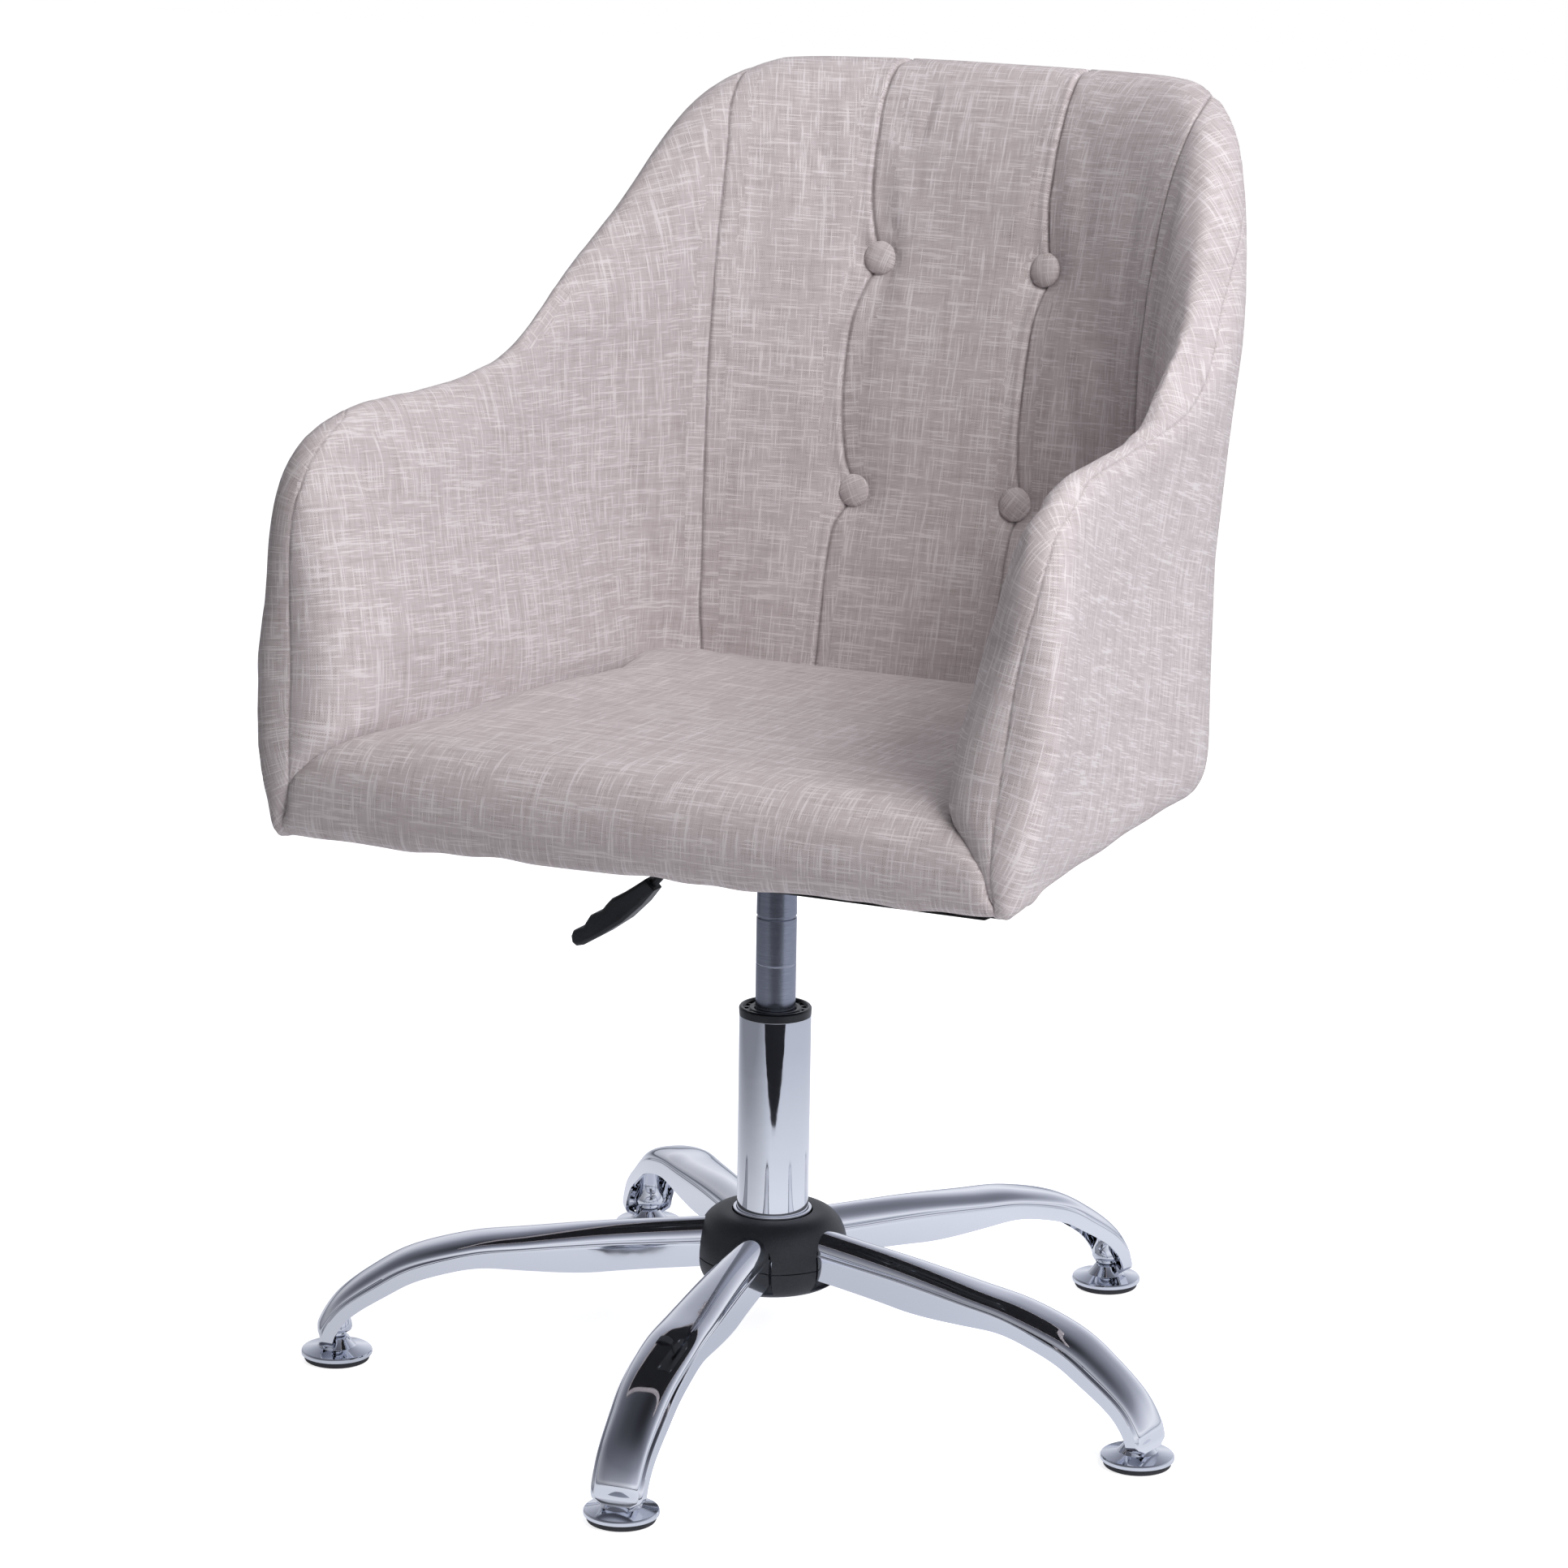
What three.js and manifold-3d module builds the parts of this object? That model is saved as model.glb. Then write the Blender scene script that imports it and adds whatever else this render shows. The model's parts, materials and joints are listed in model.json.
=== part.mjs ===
// Upholstered swivel tub chair on a five-star chrome base with glides and a gas lift.
// Millimetres, +Z up, the sitter faces -Y. The chair is built round its swivel axis, with the gas
// lift at the top of its travel, and is then moved so that the origin is at the middle of its
// bounding box on the floor.
import * as THREE from 'three';
import { mergeVertices } from 'three/addons/utils/BufferGeometryUtils.js';
import Module from 'manifold-3d';

const wasm = await Module();
wasm.setup();

// ---- Driving dimensions ----
const clearance = 0.3;            // between pieces that touch
const roundSides = 28;            // facets on a turned piece
const smallSides = 16;            // facets on a small one
const glideSides = 22;

// Base
const legCount = 5;
const baseTurn = 60.9;            // degrees from +X to the first leg
const glideCircle = 305.9;        // from the swivel axis to each glide
const legSheet = 2.2;             // thickness of the stamped leg
const legHubHalf = 15.5;           // half width at the hub
const legMiddleHalf = 20.4;       // half width at the widest place
const legTipHalf = 18;            // half width at the tip
const legHubDepth = 31;           // depth of the channel at the hub
const legTipDepth = 14;           // depth of the channel at the tip
const legCrown = 7.5;             // height of the domed top above the side walls
const legTop = 109;               // height of the leg where it leaves the hub
const legShoulder = 94;           // height where the leg starts to curve down
const legEnd = 14.5;              // height of the tip's lower edge
const tipReach = 16.5;            // from the glide's axis out to the tip

// Glide
const padHeight = 4.6;
const padRadius = 23;
const discRadius = 25;
const discRim = 3.4;              // height of the chrome disc's rim
const coneRadius = 14.5;          // foot of the cone on the disc
const coneTop = 17.6;
const stemRadius = 5.5;
const stemTop = 33;
const socketBottom = 21.2;
const socketRadius = 11;
const socketTopRadius = 7.6;

// Hub and column
const hubTubeWall = 2.6;
const hubTop = 118;
const hubBottom = 63;
const coverRadius = 53.2;
const coverWall = 2.5;
const coverSplit = 85;
const coverBottom = 61;
const coverFloorRadius = 37;
const columnRadius = 25;
const columnWall = 1.5;
const columnBottom = 64;
const columnTop = 258;
const bushFlange = 6.2;
const bushDepth = 53;
const endDiscHeight = 3;
const endDiscBottom = 66;

// Gas lift
const cylinderRadius = 14;
const cylinderBore = 12.2;
const cylinderBottom = 172;
const taperStart = 328;
const cylinderTop = 384;
const taperTopRadius = 13.3;
const rodRadius = 5;
const rodBottom = 61.4;
const washerRadius = 12.5;
const washerHeight = 1.4;
const cageHeight = 2.6;
const bufferHeight = 8.5;
const pistonHeight = 10;
const pinRadius = 3;
const pinTop = 391;
const pinBottom = 372.5;

// Seat mechanism
const plateLength = 190;
const plateDepth = 160;
const plateSheet = 2.5;
const boltX = 80;
const boltY = 62;
const boltRadius = 3;
const boltHeadRadius = 6;
const boltHeadHeight = 4.5;
const socketWall = 4;
const socketTaperBottom = 352;
const pivotX = -22;
const pivotZ = 394.5;
const pivotRadius = 2.5;
const bossRadius = 5.6;
const bossHalf = 6;
const lugSheet = 3;
const leverRadius = 3.2;

// Seat and tub
const boardBottom = 409.3;
const boardHeight = 15;
const skirtBottom = 406;          // lower edge of the upholstery
const seatLine = 457;             // height where the seat meets the back
const seatBackY = 222;            // the back's face at that height
const backLean = 0.2815;          // run of the back per unit of height
const backThickness = 50;
const armFront = -240;            // reference line at the front of the arms
// Half widths of the tub at some heights, as [height, half width]: over the arms' fronts, over the
// back's corners, and between the arms at their fronts and further back.
const armOuter = [[425, 273], [455, 283], [520, 296], [600, 298], [690, 291]];
const tubOuter = [[440, 253], [570, 250.5], [716, 260.5], [789, 256], [884, 247]];
const armInner = [[425, 250], [476, 215], [520, 218], [561, 228], [607, 240], [690, 253]];
const tubInner = [[457, 198], [520, 208], [600, 226], [690, 236], [884, 222]];
// Corner radii in plan, as [height, radius]: the inner face is nearly square at the seat and opens
// into a scoop above it.
const innerCorner = [[457, 40], [520, 95], [603, 170], [697, 222], [744, 225], [884, 200]];
const outerCorner = [[440, 145], [570, 170], [716, 200]];
const spineRadius = 170;          // largest inner radius that the middle of the wall follows
const flatShare = 0.16;           // share of the way round to the arm that crosses the flat of the back
const innerEdge = 28;             // rounding along the rim of the arms and the back
const outerEdge = 20;
const crestReach = 55;            // how far the inner rounding runs down from the top of an arm
const crestStart = 585;
const tuckRadius = 30;            // along the foot
const tuckHeight = 38;
const frameThickness = 12;
// The rim, from the foot of the arm's front up and back along the arm, as [y, height], and then on
// to the middle of the back, as [degrees round the corner, height].
const armRim = [
  [-234, 416], [-237, 440], [-232, 475], [-223, 515], [-215, 560], [-210, 605], [-203, 634],
  [-190, 656], [-171, 670], [-138, 680], [-96, 684], [-18, 684], [52, 689], [95, 701], [125, 716],
];
const wingRim = [
  [87, 732], [80, 753], [73, 778], [67.5, 804], [62.5, 830], [56.5, 854], [49, 871],
  [41, 881], [32, 884], [16, 884], [0, 884],
];
const cushionFront = -232;
const cushionCrown = 474;         // height of the seat's front
const boardFront = -211;
const rimCorner = 7;                // which rim point parts the arm's front from its top
const buttonRadius = 12;
const buttonHeight = 7;
const buttonSink = 1.5;
const buttonHalf = 65;
const buttonHeights = [744, 578];

// ---- Materials ----
const steel = (color, roughness, metalness = 1) =>
  new THREE.MeshStandardMaterial({ color, roughness, metalness });
const chrome = () => steel(0xd9dce2, 0.08);
const satinSteel = () => steel(0x8c93a3, 0.3);
const plainSteel = () => steel(0xa2a5a8, 0.4);
const blackSteel = () => steel(0x1c1d20, 0.5, 0.6);
const plastic = () => steel(0x1d1e22, 0.5, 0);
const rubber = () => steel(0x26262b, 0.8, 0);
const linen = () => steel(0xb3a7a1, 0.95, 0);
const plywood = () => steel(0xb88f62, 0.7, 0);
const feltBlack = () => steel(0x141416, 0.95, 0);

// ---- Helpers ----
const chair = new THREE.Group();
chair.name = 'swivel_tub_chair';

function outward(geometry) {
  // Turns a closed surface right side out.
  const p = geometry.attributes.position;
  const index = geometry.index.array;
  const [a, b, c] = [new THREE.Vector3(), new THREE.Vector3(), new THREE.Vector3()];
  let volume = 0;
  for (let i = 0; i < index.length; i += 3) {
    a.fromBufferAttribute(p, index[i]);
    b.fromBufferAttribute(p, index[i + 1]);
    c.fromBufferAttribute(p, index[i + 2]);
    volume += a.dot(b.cross(c));
  }
  if (volume < 0) index.reverse();
  return geometry;
}

function bare(geometry) {
  // Keeps only the positions, with shared vertices merged.
  geometry.deleteAttribute('normal');
  geometry.deleteAttribute('uv');
  return outward(mergeVertices(geometry, 1e-4));
}

function solid(geometry) {
  const g = bare(geometry);
  const mesh = { numProp: 3, vertProperties: g.attributes.position.array, triVerts: new Uint32Array(g.index.array) };
  return new wasm.Manifold(new wasm.Mesh(mesh));
}

function shape(manifold) {
  const { vertProperties, triVerts } = manifold.getMesh();
  const geometry = new THREE.BufferGeometry();
  geometry.setAttribute('position', new THREE.BufferAttribute(vertProperties, 3));
  geometry.setIndex(new THREE.BufferAttribute(triVerts, 1));
  return geometry;
}

function piece(name, geometry, material, parent = chair) {
  const mesh = new THREE.Mesh(geometry, material);
  mesh.name = name;
  parent.add(mesh);
  return mesh;
}

function turned(profile, sides = roundSides) {
  // Profile points are [radius, height]; the lathe turns about Z.
  const points = profile.map(([r, z]) => new THREE.Vector2(r, z));
  return bare(new THREE.LatheGeometry(points, sides).rotateX(Math.PI / 2));
}

const loop = (profile) => [...profile, profile[0]];

const ring = (inner, outer, bottom, top, sides) =>
  turned(loop([[inner, bottom], [outer, bottom], [outer, top], [inner, top]]), sides);

const disc = (radius, bottom, top, sides) =>
  turned([[0, bottom], [radius, bottom], [radius, top], [0, top]], sides);

const box = (x0, x1, y0, y1, z0, z1) =>
  bare(new THREE.BoxGeometry(x1 - x0, y1 - y0, z1 - z0)
    .translate((x0 + x1) / 2, (y0 + y1) / 2, (z0 + z1) / 2));

const along = (radius, x, z, y0, y1, sides = smallSides) =>
  bare(new THREE.CylinderGeometry(radius, radius, y1 - y0, sides).translate(x, (y0 + y1) / 2, 0)
    .translate(0, 0, z));

function surface(points, faces) {
  const geometry = new THREE.BufferGeometry();
  geometry.setAttribute('position', new THREE.Float32BufferAttribute(points.flat(), 3));
  geometry.setIndex(faces);
  return bare(geometry);
}

function loft(sections) {
  // Joins closed sections of equal length and caps both ends.
  const n = sections[0].length;
  const faces = [];
  for (let i = 0; i + 1 < sections.length; i++) {
    for (let j = 0; j < n; j++) {
      const [a, b] = [i * n + j, i * n + ((j + 1) % n)];
      faces.push(a, b, b + n, a, b + n, a + n);
    }
  }
  const last = (sections.length - 1) * n;
  const cap = (start, flip) => {
    const flat = capOutline(sections[start / n]);
    for (const [a, b, c] of flat) faces.push(start + a, start + (flip ? c : b), start + (flip ? b : c));
  };
  cap(0, true);
  cap(last, false);
  return surface(sections.flat(), faces);
}

function capOutline(section) {
  // Triangulates a flat section in its own plane.
  const points = section.map((p) => new THREE.Vector3(...p));
  const normal = new THREE.Vector3();
  points.forEach((p, i) => {
    const q = points[(i + 1) % points.length];
    normal.add(new THREE.Vector3().crossVectors(p, q));
  });
  const turn = new THREE.Quaternion().setFromUnitVectors(normal.normalize(), new THREE.Vector3(0, 0, 1));
  const flat = points.map((p) => {
    const q = p.clone().applyQuaternion(turn);
    return new THREE.Vector2(q.x, q.y);
  });
  return THREE.ShapeUtils.triangulateShape(flat, []);
}

function plate(outline, bottom, top, holes = []) {
  // A flat sheet from an outline of [x, y] points.
  const vectors = (points) => points.map(([x, y]) => new THREE.Vector2(x, y));
  const points = vectors(outline);
  const contour = new THREE.Shape(THREE.ShapeUtils.isClockWise(points) ? points.reverse() : points);
  contour.holes = holes.map((hole) => new THREE.Path(vectors(hole)));
  return bare(new THREE.ExtrudeGeometry(contour, { depth: top - bottom, bevelEnabled: false })
    .translate(0, 0, bottom));
}

const circleOutline = (x, y, radius, sides = smallSides) => Array.from({ length: sides }, (_, i) => {
  const a = (i / sides) * 2 * Math.PI;
  return [x + radius * Math.cos(a), y + radius * Math.sin(a)];
});

// ---- Base ----
const legTurns = Array.from({ length: legCount }, (_, i) =>
  THREE.MathUtils.degToRad(baseTurn + (i * 360) / legCount));
const hubTubeInner = columnRadius + clearance;
const hubTubeOuter = hubTubeInner + hubTubeWall;

// The line of the leg's top, as [distance from the axis, height].
const tipX = glideCircle + tipReach;
const legLine = new THREE.SplineCurve([
  [hubTubeInner - 8, legTop + 2.4], [50, legTop], [glideCircle - 191, legTop - 4.4],
  [glideCircle - 133, (legTop + legShoulder) / 2 - 3], [glideCircle - 94, legShoulder],
  [glideCircle - 52, legShoulder - 11], [glideCircle - 24, legShoulder - 26.3],
  [glideCircle - 1, legShoulder - 44.5], [tipX - 4.5, legEnd + 16], [tipX, legEnd],
].map(([r, z]) => new THREE.Vector2(r, z)));

function legSection(t, inset) {
  // One section of the channel: [across, distance, height], from one lower edge to the other.
  const { lerp, smoothstep } = THREE.MathUtils;
  const at = legLine.getPointAt(t);
  const dir = t > 0.995 ? new THREE.Vector2(0, -1) : legLine.getTangentAt(t);
  const down = new THREE.Vector2(dir.y, -dir.x);
  const half = t < 0.65
    ? lerp(legHubHalf, legMiddleHalf, smoothstep(t, 0.1, 0.65))
    : lerp(legMiddleHalf, legTipHalf, smoothstep(t, 0.65, 1));
  const bellyDepth = legTipDepth + 5;
  const depth = t < 0.6
    ? lerp(legHubDepth, bellyDepth, smoothstep(t, 0.3, 0.6))
    : lerp(bellyDepth, legTipDepth, smoothstep(t, 0.75, 1));
  const w = half - inset;
  const crown = legCrown - inset / 2;
  const section = [[-w, depth], [-w, legCrown + inset / 2]];
  for (const a of [-0.84, -0.5, 0, 0.5, 0.84]) {
    section.push([a * w, inset + crown * (1 - Math.sqrt(1 - Math.abs(a) ** 3))]);
  }
  section.push([w, legCrown + inset / 2], [w, depth]);
  return section.map(([x, d]) => [x, at.x + down.x * d, at.y + down.y * d]);
}

function legSolid(inset, extra = 0) {
  // The filled channel; a positive extra carries its lower edge further down.
  const stations = [0, 0.25, 0.42, 0.55, 0.65, 0.73, 0.8, 0.86, 0.91, 0.96, 1];
  const sections = stations.map((t) => {
    const s = legSection(t, inset);
    const push = (p, q) => {
      const d = [0, p[1] - q[1], p[2] - q[2]];
      const l = Math.hypot(...d);
      return p.map((v, i) => v + (d[i] / l) * extra);
    };
    return [push(s[0], s[1]), ...s.slice(1, -1), push(s.at(-1), s.at(-2))];
  });
  if (extra > 0) {
    // Past the tip, so that the cut goes through.
    sections.push(sections.at(-1).map(([x, r, z]) => [x, r, z - extra]));
  }
  return solid(loft(sections));
}

const hubCut = solid(disc(hubTubeOuter + clearance, hubBottom - 40, hubTop + 40, roundSides));
const upright = ([x, r, z]) => [r, -x, z];
const legHollow = legSolid(legSheet, 12);
const leg = legSolid(0).subtract(legHollow);
const legLying = (m) => m.warp((v) => { [v[0], v[1], v[2]] = upright([v[0], v[1], v[2]]); });
const legShape = legLying(leg).subtract(hubCut);
const legEnvelope = legLying(legSolid(-0.8, 6));

// The socket for the glide's stem, fitted to the underside of the tip.
const socketBore = stemRadius + clearance;
const socketProfile = [
  [socketBore, socketBottom], [socketRadius - 2, socketBottom], [socketRadius, socketBottom + 2],
  [socketRadius, socketBottom + 4.5], [socketRadius - 2, socketBottom + 9],
  [socketTopRadius, socketBottom + 17], [socketTopRadius, legShoulder - 20],
  [0, legShoulder - 20], [0, stemTop + 1], [socketBore, stemTop + 1],
];
const underLeg = legLying(legSolid(legSheet + clearance, 60));
const socketShape = solid(turned(loop(socketProfile), smallSides))
  .translate([glideCircle, 0, 0]).intersect(underLeg).translate([-glideCircle, 0, 0]);

// The glide: a steel stem, a pressed chrome disc with a cone, and a rubber pad below.
const discTop = padHeight + discRim;
const discSheet = 1.4;
const coneFoot = discTop + 1.6;
const neckRadius = stemRadius + 1.4;
const discProfile = [
  [discRadius - discSheet, padHeight], [discRadius, padHeight], [discRadius, discTop],
  [coneRadius, coneFoot], [neckRadius + 3, coneTop - 2.6], [neckRadius + 0.6, coneTop],
  [stemRadius + clearance, coneTop], [stemRadius + clearance, coneTop - discSheet],
  [neckRadius + 0.6, coneTop - discSheet - 1], [neckRadius + 2, coneTop - 4.4],
  [coneRadius - 0.6, coneFoot - discSheet], [discRadius - discSheet, discTop - discSheet],
];
const headTop = coneTop - 4.6;
const headBottom = coneFoot - discSheet - 0.4;
const padProfile = [
  [0, 0], [padRadius - 1.4, 0], [padRadius, 1.4], [padRadius, discTop - discSheet - clearance],
  [coneRadius, headBottom - clearance - 0.4], [0, headBottom - clearance - 0.4],
];
const stemProfile = [
  [0, headBottom - clearance], [neckRadius + 0.6, headBottom - clearance], [neckRadius, headTop],
  [stemRadius, headTop], [stemRadius, coneTop + clearance], [neckRadius, coneTop + clearance],
  [neckRadius, socketBottom - clearance], [stemRadius, socketBottom - clearance],
  [stemRadius, stemTop], [0, stemTop],
];

legTurns.forEach((turn, i) => {
  const arm = new THREE.Group();
  arm.rotation.z = turn;
  chair.add(arm);
  piece(`leg_${i + 1}`, shape(legShape), chrome(), arm);
  const foot = new THREE.Group();
  foot.position.x = glideCircle;
  arm.add(foot);
  piece(`leg_socket_${i + 1}`, shape(socketShape), chrome(), foot);
  piece(`glide_stem_${i + 1}`, turned(stemProfile, smallSides - 2), chrome(), foot);
  piece(`glide_disc_${i + 1}`, turned(loop(discProfile), glideSides), chrome(), foot);
  piece(`glide_pad_${i + 1}`, turned(padProfile, glideSides), rubber(), foot);
});

// ---- Hub ----
piece('hub_tube', ring(hubTubeInner, hubTubeOuter, hubBottom, hubTop), chrome());

const coverTop = hubTop - 2;
const coverHole = hubTubeOuter + clearance;
const upperArc = (radius, drop) => [0, 25, 45, 62, 77, 90].map((deg) => {
  const a = THREE.MathUtils.degToRad(deg);
  const foot = coverHole + 4;
  return [foot + (radius - foot) * Math.sin(a), coverSplit + 3 + (coverTop - drop - coverSplit - 3) * Math.cos(a)];
});
const lowerArc = (radius, rise) => [90, 65, 40, 15].map((deg) => {
  const a = THREE.MathUtils.degToRad(deg);
  const floor = coverFloorRadius;
  return [floor + (radius - floor) * Math.sin(a), coverSplit - 3 - (coverSplit - 3 - coverBottom - rise) * Math.cos(a)];
});
const innerCover = coverRadius - coverWall;
const upperCover = [
  [coverHole, coverTop - coverWall], [coverHole, coverTop], ...upperArc(coverRadius, 0),
  [coverRadius, coverSplit + clearance / 2], [innerCover, coverSplit + clearance / 2],
  ...upperArc(innerCover, coverWall).reverse(),
];
const floorHole = columnRadius - 3;
const lowerCover = [
  [coverRadius, coverSplit - clearance / 2], ...lowerArc(coverRadius, 0), [floorHole, coverBottom],
  [floorHole, coverBottom + coverWall], ...lowerArc(innerCover, coverWall).reverse(),
  [innerCover, coverSplit - clearance / 2],
];
const allLegs = legTurns.map((turn) => legEnvelope.rotate([0, 0, THREE.MathUtils.radToDeg(turn)]))
  .reduce((a, b) => a.add(b));
const tubeCut = solid(disc(hubTubeOuter + clearance, hubBottom - clearance, hubTop + 10));
const cutCover = (profile) => shape(solid(turned(loop(profile), roundSides + 4)).subtract(allLegs).subtract(tubeCut));
piece('hub_cover_upper', cutCover(upperCover), plastic());
piece('hub_cover_lower', cutCover(lowerCover), plastic());

// ---- Column ----
const columnBore = columnRadius - columnWall;
piece('column_tube', ring(columnBore, columnRadius, columnBottom, columnTop), chrome());
const bushBody = columnBore - clearance;
const bushBore = cylinderRadius + clearance;
piece('guide_bush', turned(loop([
  [bushBore, columnTop - bushDepth], [bushBody, columnTop - bushDepth],
  [bushBody, columnTop + clearance], [columnRadius, columnTop + clearance],
  [columnRadius, columnTop + bushFlange - 1], [columnRadius - 1, columnTop + bushFlange],
  [columnRadius - 2.6, columnTop + bushFlange], [columnRadius - 3.2, columnTop + bushFlange - 1.6],
  [bushBore, columnTop + bushFlange - 1.6],
])), plastic());
const discHole = rodRadius + clearance;
const endDiscTop = endDiscBottom + endDiscHeight;
piece('column_end_disc', ring(discHole, columnBore - clearance, endDiscBottom, endDiscTop), plainSteel());

// ---- Bearing, rod and piston ----
const lowerWasher = endDiscTop + clearance;
const cageBottom = lowerWasher + washerHeight + clearance;
const upperWasher = cageBottom + cageHeight + clearance;
const shoulderBottom = upperWasher + washerHeight + clearance;
const shoulderTop = shoulderBottom + 2;
const bufferBottom = shoulderTop + clearance;
const shoulderRadius = rodRadius + 2;
const pistonBottom = cylinderBottom + 8;
piece('bearing_washer_lower', ring(discHole, washerRadius, lowerWasher, lowerWasher + washerHeight, smallSides + 4), plainSteel());
piece('bearing_cage', ring(discHole, washerRadius - 0.6, cageBottom, cageBottom + cageHeight, smallSides + 4), satinSteel());
piece('bearing_washer_upper', ring(discHole, washerRadius, upperWasher, upperWasher + washerHeight, smallSides + 4), plainSteel());
piece('rubber_buffer', ring(discHole, washerRadius - 1, bufferBottom, bufferBottom + bufferHeight, smallSides + 4), rubber());
const clipBottom = endDiscBottom - clearance - 1.5;
piece('retaining_clip', ring(rodRadius - 1 + clearance, rodRadius + 3.5, clipBottom, endDiscBottom - clearance, smallSides + 4), plainSteel());
piece('piston_rod', turned([
  [0, rodBottom], [rodRadius, rodBottom], [rodRadius, clipBottom - clearance],
  [rodRadius - 1, clipBottom - clearance], [rodRadius - 1, endDiscBottom], [rodRadius, endDiscBottom],
  [rodRadius, shoulderBottom], [shoulderRadius, shoulderBottom], [shoulderRadius, shoulderTop],
  [rodRadius, shoulderTop], [rodRadius, pistonBottom - clearance],
  [0, pistonBottom - clearance],
], smallSides), plainSteel());
piece('piston', turned([
  [0, pistonBottom], [cylinderBore - 0.3, pistonBottom],
  [cylinderBore - 0.3, pistonBottom + pistonHeight], [0, pistonBottom + pistonHeight],
], smallSides + 4), satinSteel());

// ---- Gas cylinder and release pin ----
const endWall = 4;
const pinBore = pinRadius + clearance;
piece('gas_cylinder', turned(loop([
  [discHole, cylinderBottom], [cylinderRadius - 1, cylinderBottom], [cylinderRadius, cylinderBottom + 1],
  [cylinderRadius, taperStart - 1], [cylinderRadius - 0.5, taperStart - 0.5],
  [cylinderRadius, taperStart], [taperTopRadius, cylinderTop], [pinBore, cylinderTop],
  [pinBore, pinBottom - 2.5], [cylinderBore, pinBottom - 2.5], [cylinderBore, cylinderBottom + endWall],
  [discHole, cylinderBottom + endWall],
])), satinSteel());
piece('release_pin', disc(pinRadius, pinBottom, pinTop, smallSides), plainSteel());

// ---- Seat mechanism ----
const plateTop = boardBottom - clearance;
const plateBottom = plateTop - plateSheet;
const boltSpots = [[-boltX, -boltY], [boltX, -boltY], [boltX, boltY], [-boltX, boltY]];
const lugOuter = bossHalf + clearance + lugSheet;
const lugPlan = (y0, y1) => {
  const lug = solid(box(pivotX - 6, pivotX + 2, y0, y1, pivotZ - 5, plateBottom + 0.5));
  return lug.subtract(solid(along(pivotRadius + clearance, pivotX, pivotZ, y0 - 1, y1 + 1)));
};
const halfLength = plateLength / 2;
const halfDepth = plateDepth / 2;
const corner = 14;
const plateOutline = [
  [-halfLength + corner, -halfDepth], [halfLength - corner, -halfDepth], [halfLength, -halfDepth + corner],
  [halfLength, halfDepth - corner], [halfLength - corner, halfDepth], [-halfLength + corner, halfDepth],
  [-halfLength, halfDepth - corner], [-halfLength, -halfDepth + corner],
];
const boltHole = boltRadius + clearance;
const flatPlate = plate(plateOutline, plateBottom, plateTop,
  boltSpots.map(([x, y]) => circleOutline(x, y, boltHole)));
const mountPlate = solid(flatPlate)
  .add(lugPlan(bossHalf + clearance, lugOuter))
  .add(lugPlan(-lugOuter, -bossHalf - clearance));
piece('mounting_plate', shape(mountPlate), blackSteel());

const taperAt = (z) => THREE.MathUtils.mapLinear(z, taperStart, cylinderTop, cylinderRadius, taperTopRadius);
const socketOuter = cylinderRadius + socketWall;
const chamber = taperTopRadius + clearance;
const taperSocket = solid(turned(loop([
  [taperAt(socketTaperBottom) + clearance, socketTaperBottom], [socketOuter, socketTaperBottom],
  [socketOuter, plateBottom - clearance], [chamber, plateBottom - clearance], [chamber, cylinderTop],
])));
const slotHalf = bossHalf + 1;
const leverSlot = solid(box(-socketOuter - 5, 0, -slotHalf, slotHalf, cylinderTop, plateBottom + 5));
const lugSlot = solid(box(-socketOuter - 5, pivotX + 2 + 1, -lugOuter - 1, lugOuter + 1, pivotZ - 6, plateBottom + 5));
piece('taper_socket', shape(taperSocket.subtract(leverSlot).subtract(lugSlot)), blackSteel());

piece('lever_pivot_pin', along(pivotRadius, pivotX, pivotZ, -lugOuter - 1.5, lugOuter + 1.5), plainSteel());

// The lever: a bent rod with a boss on its pivot and a finger over the release pin.
const handleStart = new THREE.Vector3(-95, 0, 340);
const handleAngle = THREE.MathUtils.degToRad(42);
const handleDir = new THREE.Vector3(-Math.cos(handleAngle), 0, -Math.sin(handleAngle));
const rodTip = handleStart.clone().addScaledVector(handleDir, 24);
const leverLine = new THREE.CatmullRomCurve3([
  new THREE.Vector3(pivotX - 3, 0, pivotZ), new THREE.Vector3(pivotX - 18, 0, pivotZ - 3),
  new THREE.Vector3(pivotX - 40, 0, pivotZ - 17), handleStart, rodTip,
]);
const rodSection = new THREE.Shape(circleOutline(0, 0, leverRadius, 10).map(([x, y]) => new THREE.Vector2(x, y)));
const leverRod = solid(new THREE.ExtrudeGeometry(rodSection, { steps: 16, extrudePath: leverLine }));
const boss = solid(along(bossRadius, pivotX, pivotZ, -bossHalf, bossHalf, 24));
const finger = solid(box(pivotX, 3.4, -4, 4, pinTop + 0.4, pinTop + 4.6));
const pivotHole = solid(along(pivotRadius + clearance, pivotX, pivotZ, -bossHalf - 2, bossHalf + 2));
piece('lever_rod', shape(leverRod.add(boss).add(finger).subtract(pivotHole)), blackSteel());

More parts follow.
